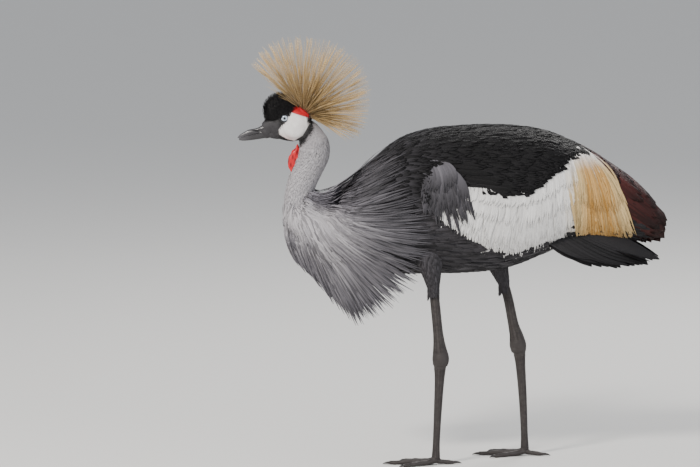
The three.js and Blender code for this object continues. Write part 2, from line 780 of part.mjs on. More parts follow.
// The way a plume faces: square to the neck or body where it lies on them, sideways where it hangs free.
function facing(p, side) {
  const [x, , z, high] = nearestOnNeck(p);
  if (Math.hypot(x - p.x, z - p.z, p.y) < high * 1.35) return V(p.x - x, p.y, p.z - z);
  const [top, bottom, half] = stationAt(PLUMAGE, p.x);
  const level = lerp(bottom, top, WIDEST_LEVEL);
  if (p.z < lerp(bottom, level, 0.1)) return V(-0.3, side, -0.15);
  const rise = p.z > level ? top - level : level - bottom;
  return V(0, p.y / half ** 2, (p.z - level) / rise ** 2);
}

// Each plume roots a little higher than the one before it and lies over it, three in turn.
function plumeVanes(side, layers = PLUME_LAYERS) {
  return layers.flatMap((layer) =>
    Array.from({ length: layer.count }, (_, i) => {
      const u = lerp(layer.from, layer.to, (i + 0.5) / layer.count);
      const curve = new THREE.CatmullRomCurve3(alongStrand(u), false, "centripetal");
      const over = PLUME.outside + (i % 3) * PLUME.over;
      const stations = [0, 0.2, 0.45, 0.72, 1].map((t) => {
        const p = curve.getPoint(t).add(V(0, 0, (i % 3) * PLUME.higher * (1 - t)));
        const opened = clamp(t / 0.3, 0, 1);
        const rootY = 21 * layer.out;
        p.y = side * lerp(rootY, Math.max(rootY, (curtainWidth(p.x, p.z) + over) * layer.out), opened);
        const point = t === 0 ? p : outside(p, over + PLUME.swell * Math.sin(t * Math.PI));
        return { point, up: facing(point, side * layer.out), t };
      });
      return vane(stations, { width: PLUME.width, thick: PLUME.thick, root: 0.22, tip: 0.12 });
    }),
  );
}

// A strand at share u of the list of neck plumes, in the middle plane.
function alongStrand(u) {
  const place = u * (PLUMES.length - 1);
  const i = Math.min(PLUMES.length - 2, Math.floor(place));
  return PLUMES[i].map(([x, z], k) => {
    const [nextX, nextZ] = PLUMES[i + 1][k];
    return V(x, 0, z).lerp(V(nextX, 0, nextZ), place - i);
  });
}

const behindCut = (made) => {
  const { at, normal } = NECK_CUTS[1];
  const n = normal.clone().normalize();
  return made.trimByPlane(n.toArray(), n.dot(at) - GAP);
};
const torsoReach = behindCut(join([neckTube(GAP), bodySolid(-GAP)]));
const allPlumes = [...plumeVanes(-1), ...plumeVanes(1), ...plumeVanes(1, MIDDLE_PLUMES)];
const plumes = join(allPlumes).subtract(torsoReach).subtract(thighsGrown);
nodes.neck_lower = join([neckLowerCore, plumes]).subtract(slab(NECK_CUTS[0].at, NECK_CUTS[0].normal, 110));

// Legs
const toeForm = (leg, toe, grow = 0) => tube(toePath(leg, toe), { sides: 6, steps: 4, grow });
for (const leg of [LEFT_LEG, RIGHT_LEG]) {
  const s = leg.side;
  const shank = (grow) => tube(leg.shank, { sides: 9, steps: 8, grow });
  const tarsus = (grow) => tube(leg.tarsus, { sides: 9, steps: 6, grow });
  nodes[`thigh_${s}`] = thighForm(leg, 0).subtract(join([coreSolid(GAP), neckGrown]));
  nodes[`shank_${s}`] = shank(0).subtract(thighForm(leg, GAP));
  nodes[`tarsus_${s}`] = tarsus(0).subtract(shank(GAP)).subtract(floor);
  const toes = Object.values(TOES);
  nodes[`foot_${s}`] = join(toes.map((toe) => toeForm(leg, toe))).subtract(tarsus(GAP)).subtract(floor);
  const toesGrown = join(toes.map((toe) => toeForm(leg, toe, GAP)));
  for (const [name, toe] of Object.entries(TOES)) {
    const claw = tube(clawPath(leg, toe), { sides: 6, steps: 3 });
    nodes[`claw_${s}_${name}`] = claw.subtract(toesGrown).subtract(floor);
  }
}

// Colours, as seen in daylight
const LOOKS = {
  head: { color: 0x2a282a, roughness: 0.9 },
  bill: { color: 0x4a474b, roughness: 0.45 },
  eye: { color: 0xb9c6d8, roughness: 0.05 },
  crest: { color: 0xc9ae7c, roughness: 0.7 },
  wattle: { color: 0xd2222f, roughness: 0.4 },
  neck: { color: 0xb3adb2, roughness: 0.85 },
  torso: { color: 0x4b484d, roughness: 0.85 },
  wing: { color: 0xe5e0da, roughness: 0.8 },
  tail: { color: 0x15141a, roughness: 0.7 },
  leg: { color: 0x3f3a3b, roughness: 0.6 },
  claw: { color: 0x2b2829, roughness: 0.4 },
};
const lookOf = (name) => {
  const key = Object.keys(LOOKS).find((k) => name.startsWith(k));
  if (key) return LOOKS[key];
  return name === "throat_wattle" ? LOOKS.wattle : LOOKS.leg;
};

const crane = new THREE.Group();
for (const [name, made] of Object.entries(nodes)) {
  const { vertProperties, triVerts, numProp } = largest(made).getMesh();
  const position = new Float32Array((vertProperties.length / numProp) * 3);
  for (let i = 0; i < position.length / 3; i += 1) {
    position.set(vertProperties.subarray(i * numProp, i * numProp + 3), i * 3);
  }
  const geometry = new THREE.BufferGeometry();
  geometry.setAttribute("position", new THREE.BufferAttribute(position, 3));
  geometry.setIndex(new THREE.BufferAttribute(new Uint32Array(triVerts), 1));
  const mesh = new THREE.Mesh(geometry, new THREE.MeshStandardMaterial({ ...lookOf(name), metalness: 0 }));
  mesh.name = name;
  crane.add(mesh);
}
export default crane;
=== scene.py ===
# %% [markdown]
# # A grey crowned crane, feather by feather
# The solid model gives the frame: every piece below is made in the same place and the same metres, so
# nothing has to be fitted afterwards. Sizes are written in millimetres, as a model maker would note them,
# and become metres only when a mesh is made.

# %% Open the frame and the camera
import math

import bpy
import numpy as np
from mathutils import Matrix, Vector


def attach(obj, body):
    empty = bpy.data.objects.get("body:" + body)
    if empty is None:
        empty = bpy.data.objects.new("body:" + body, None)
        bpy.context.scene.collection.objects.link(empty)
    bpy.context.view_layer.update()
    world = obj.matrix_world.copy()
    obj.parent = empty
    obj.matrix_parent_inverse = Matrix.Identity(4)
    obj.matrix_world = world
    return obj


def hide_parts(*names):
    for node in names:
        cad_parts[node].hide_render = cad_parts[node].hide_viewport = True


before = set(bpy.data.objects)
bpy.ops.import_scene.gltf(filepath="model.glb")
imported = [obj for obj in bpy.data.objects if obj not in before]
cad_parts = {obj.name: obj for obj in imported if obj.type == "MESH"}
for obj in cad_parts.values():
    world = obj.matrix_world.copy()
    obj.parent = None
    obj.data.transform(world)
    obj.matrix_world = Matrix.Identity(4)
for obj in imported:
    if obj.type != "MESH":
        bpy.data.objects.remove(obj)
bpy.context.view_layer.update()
rng = np.random.default_rng(11)

AIM = (-191.0, 0.0, 434.5)  # what the photo's middle looks at
DISTANCE = 12000.0
ELEVATION = 6.5
VIEW_WIDTH = 1330.0  # how much of the subject's plane the photo is wide

camera_data = bpy.data.cameras.new("camera")
camera = bpy.data.objects.new("camera", camera_data)
bpy.context.scene.collection.objects.link(camera)
bpy.context.scene.camera = camera
tilt = math.radians(ELEVATION)
away = Vector((0, -math.cos(tilt), math.sin(tilt))) * DISTANCE
camera.location = (Vector(AIM) + away) / 1000
camera.rotation_euler = (math.radians(90) - tilt, 0, 0)
camera_data.sensor_width = 36
camera_data.lens = 36 * DISTANCE / VIEW_WIDTH
camera_data.clip_end = 60

# %% [markdown]
# ## Lines that everything follows
# A bird's outline is a few measured stations with smooth curves between them. One small function reads such
# a table. The body is then a point for each (x, angle, depth), and the neck a point for each (share, angle,
# depth). Feathers use the same functions as the skin, so they follow it exactly.

# %% Body and neck as formulas
PLUMAGE = [  # x, top, bottom, half width of the feathered body
    [-222, 452, 392, 38], [-195, 510, 372, 60], [-160, 566, 362, 76], [-134, 591, 358, 84],
    [-96, 618, 356, 92], [-40, 636, 357, 98], [40, 643, 359, 99], [108, 643, 368, 97], [176, 634, 394, 90],
    [219, 618, 413, 82], [260, 598, 421, 70], [300, 573, 420, 58], [345, 541, 420, 44], [380, 507, 421, 30],
    [402, 474, 426, 17],
]
WIDEST = 0.56
NECK = [  # x, y, z, half height, half width, from the head down into the chest
    [-281, 0, 640, 22, 18], [-264, 0, 617, 28, 23], [-259, 0, 590, 30, 24.5], [-270, 0, 561, 28.5, 24],
    [-282, 0, 533, 27.5, 24], [-288, 0, 504, 27.5, 25], [-286, 0, 476, 31, 28], [-271, 0, 449, 38, 34],
    [-236, 0, 431, 46, 43], [-188, 0, 436, 58, 58], [-125, 0, 457, 76, 72],
]


def smooth(rows, x):
    """Values between the stations of a table whose first column is x."""
    rows = np.asarray(rows, float)
    x = np.asarray(x, float)
    at, values = rows[:, 0], rows[:, 1:]
    slope = np.empty_like(values)
    slope[1:-1] = (values[2:] - values[:-2]) / (at[2:] - at[:-2])[:, None]
    slope[0] = (values[1] - values[0]) / (at[1] - at[0])
    slope[-1] = (values[-1] - values[-2]) / (at[-1] - at[-2])
    flat = np.clip(x.ravel(), at[0], at[-1])
    i = np.clip(np.searchsorted(at, flat, side="right") - 1, 0, len(at) - 2)
    span = (at[i + 1] - at[i])[:, None]
    t = (flat - at[i])[:, None] / span
    a, b = values[i], values[i + 1]
    ma, mb = slope[i] * span, slope[i + 1] * span
    out = (2 * t**3 - 3 * t**2 + 1) * a + (t**3 - 2 * t**2 + t) * ma
    out = out + (3 * t**2 - 2 * t**3) * b + (t**3 - t**2) * mb
    return np.moveaxis(out.reshape(x.shape + (values.shape[1],)), -1, 0)


def ease(v, low, high):
    t = np.clip((np.asarray(v, float) - low) / (high - low), 0, 1)
    return t * t * (3 - 2 * t)


def mix(a, b, t):
    t = np.asarray(t)[..., None]
    return np.asarray(a, float) * (1 - t) + np.asarray(b, float) * t


def body_at(x):
    """Top, bottom, half width and widest level of the body."""
    top, bottom, half = smooth(PLUMAGE, x)
    return top, bottom, half, bottom + WIDEST * (top - bottom)


def body_point(x, angle, depth):
    """A point on the body, angle 0 on the back and 180 on the belly, negative on the bird's left."""
    x, angle, depth = np.broadcast_arrays(np.asarray(x, float), angle, depth)
    top, bottom, half, level = body_at(x)
    a = np.radians(angle)
    up = np.maximum(1, np.where(np.cos(a) > 0, top - level, level - bottom) - depth)
    return np.stack([x, np.sin(a) * np.maximum(1, half - depth), level + np.cos(a) * up], -1)


def angle_at(x, z):
    top, bottom, _, level = body_at(x)
    share = np.where(z > level, (z - level) / (top - level), (z - level) / (level - bottom))
    return np.degrees(np.arccos(np.clip(share, -1, 1)))


def tube_point(stations, share, angle, depth):
    """A point on a tube through stations [x, y, z, half height, half width]."""
    share, angle, depth = np.broadcast_arrays(np.asarray(share, float), angle, depth)
    rows = [[i / (len(stations) - 1)] + list(s) for i, s in enumerate(stations)]
    x, y, z, high, wide = smooth(rows, share)
    behind = np.stack(smooth(rows, share - 0.004)[:3], -1)
    ahead = np.stack(smooth(rows, share + 0.004)[:3], -1)
    along = ahead - behind
    along /= np.linalg.norm(along, axis=-1, keepdims=True)
    side = np.array([0.0, 1.0, 0.0]) - along * along[..., 1:2]
    side /= np.linalg.norm(side, axis=-1, keepdims=True)
    up = np.cross(along, side)
    a = np.radians(angle)[..., None]
    out = np.cos(a) * (high - depth)[..., None] * up + np.sin(a) * (wide - depth)[..., None] * side
    return np.stack([x, y, z], -1) + out


print("widest at the shoulder:", float(body_point(40, 90, 0)[1]) * 2, "mm")

# %% [markdown]
# ## Making meshes fast
# Thousands of feathers are made with arrays, not one by one. Each vane is a closed lozenge: a shaft that is
# raised, two edges that drop a little, and a point at both ends. The tint of each station is kept as a
# colour attribute, a UV map runs along the barbs, and a second one packs each feather into a tiny patch at
# its root's place on the body's own unwrap, so that its colour can be baked.

# %% Mesh helpers
def link(obj):
    bpy.context.scene.collection.objects.link(obj)
    return obj


def build_mesh(name, points, quads, triangles, tint=None, uv=None, bake=None):
    """A mesh from arrays in millimetres, shaded smooth."""
    mesh = bpy.data.meshes.new(name)
    quads = np.asarray(quads, np.int32).reshape(-1, 4)
    triangles = np.asarray(triangles, np.int32).reshape(-1, 3)
    loops = np.concatenate([quads.ravel(), triangles.ravel()])
    totals = np.concatenate([np.full(len(quads), 4), np.full(len(triangles), 3)]).astype(np.int32)
    starts = (np.cumsum(totals) - totals).astype(np.int32)
    mesh.vertices.add(len(points))
    mesh.vertices.foreach_set("co", (np.asarray(points, np.float32) / 1000).ravel())
    mesh.loops.add(len(loops))
    mesh.loops.foreach_set("vertex_index", loops)
    mesh.polygons.add(len(totals))
    mesh.polygons.foreach_set("loop_start", starts)
    mesh.update(calc_edges=True)
    mesh.polygons.foreach_set("use_smooth", np.ones(len(totals), bool))
    if tint is not None:
        colour = mesh.color_attributes.new("tint", "FLOAT_COLOR", "POINT")
        colour.data.foreach_set("color", np.c_[tint, np.ones(len(tint))].astype(np.float32).ravel())
    for label, values in (("Barb", uv), ("OFBake", bake)):
        if values is not None:
            layer = mesh.uv_layers.new(name=label)
            layer.data.foreach_set("uv", np.asarray(values, np.float32)[loops].ravel())
    return link(bpy.data.objects.new(name, mesh))


PATCH = 0.003  # how wide a feather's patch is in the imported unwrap


def vane_mesh(name, spine, out, width, tint, root_uv, thick=0.5, drop=0.12):
    """Closed vanes: spine, out and tint are (count, stations, 3), and width is (count, stations).

    The rims stay sharp, so that light runs smoothly over a vane's face and stops at its edge.
    """
    n, k = width.shape
    along = np.gradient(spine, axis=1)
    length = np.cumsum(np.linalg.norm(along, axis=-1), axis=1)
    along /= np.linalg.norm(along, axis=-1, keepdims=True) + 1e-9
    up = out - along * (out * along).sum(-1, keepdims=True)
    up /= np.linalg.norm(up, axis=-1, keepdims=True) + 1e-9
    side = np.cross(along, up)
    half = width[..., None] / 2
    ring = np.stack([
        spine + side * half - up * half * 2 * drop,
        spine + up * thick / 2,
        spine - side * half - up * half * 2 * drop,
        spine - up * thick / 2,
    ], 2)
    root = spine[:, :1] - along[:, :1] * 0.4
    tip = spine[:, -1:] + along[:, -1:] * (width[:, -1:, None] * 0.6 + 0.2)
    points = np.concatenate([ring.reshape(n, 4 * k, 3), root, tip], 1)
    across = np.broadcast_to([0.0, 0.5, 1.0, 0.5], (n, k, 4)).reshape(n, 4 * k)
    run = np.repeat(length, 4, axis=1) / 100 + rng.random((n, 1)) * 9
    uv = np.stack([np.c_[across, np.full((n, 2), 0.5)], np.c_[run, run[:, :1], run[:, -1:]]], -1)
    share = np.repeat(np.broadcast_to(np.linspace(0, 1, k), (n, k)), 4, axis=1)
    share = np.c_[share, np.zeros((n, 1)), np.ones((n, 1))]
    bake = np.asarray(root_uv)[:, None, :] + (np.stack([uv[..., 0], share], -1) - 0.5) * PATCH
    colours = np.concatenate([np.repeat(tint, 4, axis=1), tint[:, :1], tint[:, -1:]], 1)
    start = (np.arange(n) * (4 * k + 2))[:, None, None]
    r, i = np.meshgrid(np.arange(k - 1), np.arange(4), indexing="ij")
    j = (i + 1) % 4
    quads = np.stack([4 * r + i, 4 * r + 4 + i, 4 * r + 4 + j, 4 * r + j], -1).reshape(1, -1, 4) + start
    i = np.arange(4)
    j = (i + 1) % 4
    first = np.stack([np.full(4, 4 * k), i, j], -1)
    last = np.stack([np.full(4, 4 * k + 1), 4 * (k - 1) + j, 4 * (k - 1) + i], -1)
    triangles = np.concatenate([first, last])[None] + start
    obj = build_mesh(name, points.reshape(-1, 3), quads.reshape(-1, 4), triangles.reshape(-1, 3),
                     colours.reshape(-1, 3), uv.reshape(-1, 2), np.clip(bake, 0.001, 0.999).reshape(-1, 2))
    edges = np.empty(len(obj.data.edges) * 2, np.int32)
    obj.data.edges.foreach_get("vertices", edges)
    place = edges.reshape(-1, 2) % (4 * k + 2)
    rim = (place[:, 0] % 4 == place[:, 1] % 4) & (place[:, 0] % 2 == 0) & (place.max(1) < 4 * k)
    obj.data.attributes.new("sharp_edge", "BOOLEAN", "EDGE").data.foreach_set("value", rim)
    print(f"{name}: {n} vanes, {n * (8 * (k - 1) + 8)} triangles")
    return obj


def leaf(k, root=0.4, tip=0.2, broad=0.5):
    """The outline of a feather: its width at k stations, as a share of the widest."""
    t = np.linspace(0, 1, k)
    rise = root + (1 - root) * np.sin(np.clip(t / broad, 0, 1) * np.pi / 2)
    fall = 1 + (tip - 1) * np.clip((t - broad) / (1 - broad), 0, 1) ** 1.8
    return np.where(t < broad, rise, fall)


def loft(name, rings, tint=None):
    """A closed surface through rings, with a point in the middle of each end."""
    k, n = rings.shape[:2]
    r, i = np.meshgrid(np.arange(k - 1), np.arange(n), indexing="ij")
    j = (i + 1) % n
    quads = np.stack([n * r + i, n * r + j, n * r + n + j, n * r + n + i], -1).reshape(-1, 4)
    i = np.arange(n)
    j = (i + 1) % n
    first = np.stack([np.full(n, k * n), j, i], -1)
    last = np.stack([np.full(n, k * n + 1), n * (k - 1) + i, n * (k - 1) + j], -1)
    ends = [rings[0].mean(0), rings[-1].mean(0)]
    points = np.concatenate([rings.reshape(-1, 3), ends])
    return build_mesh(name, points, quads, np.concatenate([first, last]), tint)


def points_of(obj):
    flat = np.empty(len(obj.data.vertices) * 3, np.float32)
    obj.data.vertices.foreach_get("co", flat)
    return flat.reshape(-1, 3).astype(float) * 1000


def normals_of(obj):
    flat = np.empty(len(obj.data.vertices) * 3, np.float32)
    obj.data.vertices.foreach_get("normal", flat)
    return flat.reshape(-1, 3).astype(float)


def move_points(obj, points):
    obj.data.vertices.foreach_set("co", (points / 1000).astype(np.float32).ravel())
    obj.data.update()


def add_uv(obj, label, values):
    """A UV map from one place for each point."""
    corner = np.empty(len(obj.data.loops), np.int32)
    obj.data.loops.foreach_get("vertex_index", corner)
    layer = obj.data.uv_layers.new(name=label)
    layer.data.foreach_set("uv", values[corner].astype(np.float32).ravel())


def paint(obj, tint):
    attributes = obj.data.color_attributes
    colour = attributes.get("tint") or attributes.new("tint", "FLOAT_COLOR", "POINT")
    colour.data.foreach_set("color", np.c_[tint, np.ones(len(tint))].astype(np.float32).ravel())


def fuse(name, parts, voxel, relax=4):
    """Closed shapes grown together into one skin."""
    bpy.ops.object.select_all(action="DESELECT")
    for part in parts:
        part.select_set(True)
    bpy.context.view_layer.objects.active = parts[0]
    bpy.ops.object.join()
    made = parts[0]
    made.name = name
    made.select_set(False)
    remesh = made.modifiers.new("grow together", "REMESH")
    remesh.mode = "VOXEL"
    remesh.voxel_size = voxel / 1000
    relaxing = made.modifiers.new("relax", "SMOOTH")
    relaxing.iterations = relax
    relaxing.factor = 0.5
    bpy.context.view_layer.objects.active = made
    for modifier in list(made.modifiers):
        bpy.ops.object.modifier_apply(modifier=modifier.name)
    made.data.polygons.foreach_set("use_smooth", np.ones(len(made.data.polygons), bool))
    print(f"{name}: {len(made.data.polygons)} faces")
    return made


def finish_piece(obj, material, nodes=()):
    """Material, body and the solids it stands for."""
    obj.data.materials.clear()
    obj.data.materials.append(material)
    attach(obj, "root")
    if nodes:
        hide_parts(*nodes)
    return obj

# %% [markdown]
# ## Finishes
# Two effects come back on many pieces: the fine lines of barbs on a feather, and the uneven grain of bare
# skin and horn. Each is a node group that gives out a colour and a height. The shader itself stays in the
# material.

# %% Shader groups
def shader_group(name, inputs, outputs):
    group = bpy.data.node_groups.new(name, "ShaderNodeTree")
    for label, kind, value in inputs:
        socket = group.interface.new_socket(label, in_out="INPUT", socket_type=kind)
        if value is not None:
            socket.default_value = value
    for label, kind in outputs:
        group.interface.new_socket(label, in_out="OUTPUT", socket_type=kind)
    return group, group.nodes.new("NodeGroupInput"), group.nodes.new("NodeGroupOutput")


def math_node(tree, operation, a, b=None, c=None):
    node = tree.nodes.new("ShaderNodeMath")
    node.operation = operation
    for socket, value in zip(node.inputs, (a, b, c)):
        if isinstance(value, (int, float)):
            socket.default_value = value
        elif value is not None:
            tree.links.new(value, socket)
    return node.outputs[0]


def mix_colour(tree, factor, a, b, blend="MIX"):
    node = tree.nodes.new("ShaderNodeMix")
    node.data_type = "RGBA"
    node.blend_type = blend
    for socket, value in ((node.inputs[0], factor), (node.inputs[6], a), (node.inputs[7], b)):
        if isinstance(value, (int, float)):
            socket.default_value = value
        elif isinstance(value, tuple):
            socket.default_value = (*value, 1)
        else:
            tree.links.new(value, socket)
    return node.outputs[2]


barbs, source, sink = shader_group(
    "Barbs of a feather",
    [("Vector", "NodeSocketVector", None), ("Tint", "NodeSocketColor", (0.5, 0.5, 0.5, 1)),
     ("Lines", "NodeSocketFloat", 90.0), ("Contrast", "NodeSocketFloat", 0.3),
     ("Shaft", "NodeSocketFloat", 0.3)],
    [("Color", "NodeSocketColor"), ("Height", "NodeSocketFloat")],
)
parts_of_uv = barbs.nodes.new("ShaderNodeSeparateXYZ")
barbs.links.new(source.outputs["Vector"], parts_of_uv.inputs[0])
off_shaft = math_node(barbs, "ABSOLUTE", math_node(barbs, "SUBTRACT", parts_of_uv.outputs[0], 0.5))
slant = math_node(barbs, "SUBTRACT", parts_of_uv.outputs[1], math_node(barbs, "MULTIPLY", off_shaft, 0.22))
clumps = barbs.nodes.new("ShaderNodeTexNoise")
clumps.noise_dimensions = "2D"
clumps.inputs["Scale"].default_value = 14
barbs.links.new(source.outputs["Vector"], clumps.inputs["Vector"])
wander = math_node(barbs, "MULTIPLY", clumps.outputs["Fac"], 9.0)
wave = math_node(barbs, "SINE", math_node(barbs, "ADD", math_node(barbs, "MULTIPLY", math_node(
    barbs, "MULTIPLY", slant, source.outputs["Lines"]), 6.283), wander))
line = math_node(barbs, "MULTIPLY_ADD", wave, 0.5, 0.5)
shade = math_node(barbs, "MULTIPLY_ADD", math_node(barbs, "ADD", line, clumps.outputs["Fac"]), 0.5, 0.0)
darker = mix_colour(barbs, 1.0, source.outputs["Tint"], (0.42, 0.42, 0.44), "MULTIPLY")
contrast = math_node(barbs, "MULTIPLY", shade, source.outputs["Contrast"])
lined = mix_colour(barbs, contrast, source.outputs["Tint"], darker)
on_shaft = math_node(barbs, "LESS_THAN", off_shaft, 0.035)
on_shaft = math_node(barbs, "MULTIPLY", on_shaft, source.outputs["Shaft"])
lighter = mix_colour(barbs, 1.0, source.outputs["Tint"], (0.35, 0.34, 0.33), "DIVIDE")
barbs.links.new(mix_colour(barbs, on_shaft, lined, lighter), sink.inputs["Color"])
barbs.links.new(math_node(barbs, "MULTIPLY_ADD", on_shaft, 1.2, line), sink.inputs["Height"])

grain, source, sink = shader_group(
    "Grain of skin and horn",
    [("Vector", "NodeSocketVector", None), ("Tint", "NodeSocketColor", (0.5, 0.5, 0.5, 1)),
     ("Scale", "NodeSocketFloat", 400.0), ("Mottle", "NodeSocketFloat", 0.3),
     ("Stretch", "NodeSocketFloat", 1.0)],
    [("Color", "NodeSocketColor"), ("Height", "NodeSocketFloat"), ("Wear", "NodeSocketFloat")],
)
stretched = grain.nodes.new("ShaderNodeVectorMath")
stretched.operation = "MULTIPLY"
grain.links.new(source.outputs["Vector"], stretched.inputs[0])
by = grain.nodes.new("ShaderNodeCombineXYZ")
grain.links.new(source.outputs["Stretch"], by.inputs[0])
by.inputs[1].default_value = 1
by.inputs[2].default_value = 1
grain.links.new(by.outputs[0], stretched.inputs[1])
pebbles = grain.nodes.new("ShaderNodeTexVoronoi")
pebbles.feature = "F1"
blotches = grain.nodes.new("ShaderNodeTexNoise")
blotches.inputs["Detail"].default_value = 5
for node, factor in ((pebbles, 1.0), (blotches, 0.17)):
    grain.links.new(stretched.outputs[0], node.inputs["Vector"])
    grain.links.new(math_node(grain, "MULTIPLY", source.outputs["Scale"], factor), node.inputs["Scale"])
deep = mix_colour(grain, 1.0, source.outputs["Tint"], (0.45, 0.4, 0.42), "MULTIPLY")
amount = math_node(grain, "MULTIPLY", math_node(grain, "ADD", pebbles.outputs["Distance"], math_node(
    grain, "MULTIPLY_ADD", blotches.outputs["Fac"], 2.0, -0.7)), source.outputs["Mottle"])
grain.links.new(mix_colour(grain, amount, source.outputs["Tint"], deep), sink.inputs["Color"])
height = math_node(grain, "SUBTRACT", blotches.outputs["Fac"], pebbles.outputs["Distance"])
grain.links.new(height, sink.inputs["Height"])
grain.links.new(blotches.outputs["Fac"], sink.inputs["Wear"])
print("groups:", barbs.name, "and", grain.name)

# %% [markdown]
# ## Materials
# Plumage scatters light softly and has almost no gloss, apart from the stiff flight feathers. Bare skin and
# horn are a little shinier. Most materials take their tint from the mesh, so one material serves many
# colours.

# %% Materials
def new_material(name, roughness, specular=0.4, sheen=0.0, coat=0.0):
    material = bpy.data.materials.new(name)
    material.use_nodes = True
    tree = material.node_tree
    shader = tree.nodes["Principled BSDF"]
    shader.inputs["Roughness"].default_value = roughness
    shader.inputs["Specular IOR Level"].default_value = specular
    shader.inputs["Sheen Weight"].default_value = sheen
    shader.inputs["Sheen Roughness"].default_value = 0.4
    shader.inputs["Coat Weight"].default_value = coat
    shader.inputs["Coat Roughness"].default_value = 0.08
    return material, tree, shader


def add_bump(tree, shader, height, strength, distance):
    bump = tree.nodes.new("ShaderNodeBump")
    bump.inputs["Strength"].default_value = strength
    bump.inputs["Distance"].default_value = distance / 1000
    tree.links.new(height, bump.inputs["Height"])
    tree.links.new(bump.outputs[0], shader.inputs["Normal"])


def feather_material(name, roughness=0.62, lines=90, contrast=0.35, shaft=0.3, sheen=0.0, specular=0.35):
    """Tint from the mesh, fine barbs along the vane."""
    material, tree, shader = new_material(name, roughness, specular, sheen)
    tint = tree.nodes.new("ShaderNodeAttribute")
    tint.attribute_name = "tint"
    uv = tree.nodes.new("ShaderNodeUVMap")
    uv.uv_map = "Barb"
    group = tree.nodes.new("ShaderNodeGroup")
    group.node_tree = barbs
    tree.links.new(uv.outputs[0], group.inputs["Vector"])
    tree.links.new(tint.outputs["Color"], group.inputs["Tint"])
    group.inputs["Lines"].default_value = lines
    group.inputs["Contrast"].default_value = contrast
    group.inputs["Shaft"].default_value = shaft
    tree.links.new(group.outputs["Color"], shader.inputs["Base Color"])
    add_bump(tree, shader, group.outputs["Height"], 0.5, 0.25)
    return material


def grain_material(name, roughness, scale, mottle, strength, distance, tint=None, stretch=1.0, **finish):
    """Tint from the mesh or one colour, with the grain of skin or horn."""
    material, tree, shader = new_material(name, roughness, **finish)
    place = tree.nodes.new("ShaderNodeTexCoord")
    group = tree.nodes.new("ShaderNodeGroup")
    group.node_tree = grain
    tree.links.new(place.outputs["Object"], group.inputs["Vector"])
    if tint is None:
        colour = tree.nodes.new("ShaderNodeAttribute")
        colour.attribute_name = "tint"
        tree.links.new(colour.outputs["Color"], group.inputs["Tint"])
    else:
        group.inputs["Tint"].default_value = (*tint, 1)
    group.inputs["Scale"].default_value = scale
    group.inputs["Mottle"].default_value = mottle
    group.inputs["Stretch"].default_value = stretch
    tree.links.new(group.outputs["Color"], shader.inputs["Base Color"])
    wear = math_node(tree, "MULTIPLY_ADD", group.outputs["Wear"], 0.35, roughness - 0.17)
    tree.links.new(wear, shader.inputs["Roughness"])
    add_bump(tree, shader, group.outputs["Height"], strength, distance)
    return material


soft_plumage = feather_material("soft plumage", 0.72, lines=70, contrast=0.3, shaft=0.0, sheen=0.05,
                                specular=0.25)
mantle_plumage = feather_material("black mantle", 0.55, lines=80, contrast=0.5, shaft=0.0, specular=0.16)
hackle_plumage = feather_material("long neck plumes", 0.6, lines=60, contrast=0.4, shaft=0.15, specular=0.3)
stiff_plumage = feather_material("flight feathers", 0.5, lines=130, contrast=0.4, shaft=0.0, specular=0.2)
white_plumage = feather_material("white coverts", 0.75, lines=45, contrast=0.3, shaft=0.1, sheen=0.05,
                                 specular=0.2)
velvet = feather_material("black velvet cap", 0.85, lines=60, contrast=0.5, shaft=0.0, sheen=0.05,
                          specular=0.12)
bare_skin = grain_material("skin", 0.6, 620, 0.28, 0.35, 0.35)
leg_skin = grain_material("leg skin", 0.55, 520, 0.5, 0.6, 0.5)
wattle_skin = grain_material("wattle skin", 0.45, 1100, 0.15, 0.4, 0.3, coat=0.1)
bill_horn = grain_material("bill horn", 0.36, 160, 0.35, 0.15, 0.2, stretch=0.25, coat=0.1)
claw_horn = grain_material("claw horn", 0.35, 300, 0.4, 0.2, 0.2, tint=(0.03, 0.026, 0.025))
print("materials:", len(bpy.data.materials))

# %% [markdown]
# ## Markings
# The head is the part a visitor looks at first: a black velvet cap, a white cheek with a red patch above
# it, dark lores and a red throat wattle. Each marking is an outline in the side view with a soft edge, so
# the skin and the small feathers on it can ask the same question and always agree.

# %% Colours and where they go
BLACK = np.array([0.010, 0.009, 0.010])
SLATE = np.array([0.085, 0.08, 0.09])
PEARL = np.array([0.40, 0.38, 0.395])
WHITE = np.array([0.80, 0.78, 0.76])
RED = np.array([0.56, 0.006, 0.012])
LORES = np.array([0.032, 0.030, 0.033])
MAROON = np.array([0.055, 0.011, 0.009])
STRAW = np.array([0.64, 0.44, 0.19])
HORN = np.array([0.048, 0.046, 0.050])

CHEEK = [(-305, 668), (-272, 658), (-269, 644), (-281, 623), (-297, 612), (-311, 616), (-325, 625),
         (-326, 634), (-319, 644), (-310, 650)]
RED_PATCH = [(-292, 690), (-283, 684), (-267, 668), (-270, 657), (-304, 668)]
FACE_BLACK = [(-380, 720), (-300, 720), (-275, 695), (-265, 672), (-261, 648), (-262, 632), (-276, 612),
              (-298, 588), (-330, 592), (-380, 600)]


WHITE_AREA = [(-10, 500), (10, 524), (26, 530), (53, 523), (98, 519), (138, 523), (176, 551), (210, 584),
              (232, 602), (246, 560), (250, 430), (193, 424), (142, 408), (107, 396), (81, 406), (16, 440),
              (-9, 460), (-28, 476)]
WING_AREA = WHITE_AREA[:9] + [(262, 592), (300, 566), (345, 528), (390, 480), (404, 440), (386, 420),
                              (300, 416)] + WHITE_AREA[10:]
LOBE_AREA = [(-58, 546), (-46, 572), (-24, 582), (-4, 572), (18, 545), (32, 512), (36, 490), (20, 496),
             (-20, 490), (-48, 500)]


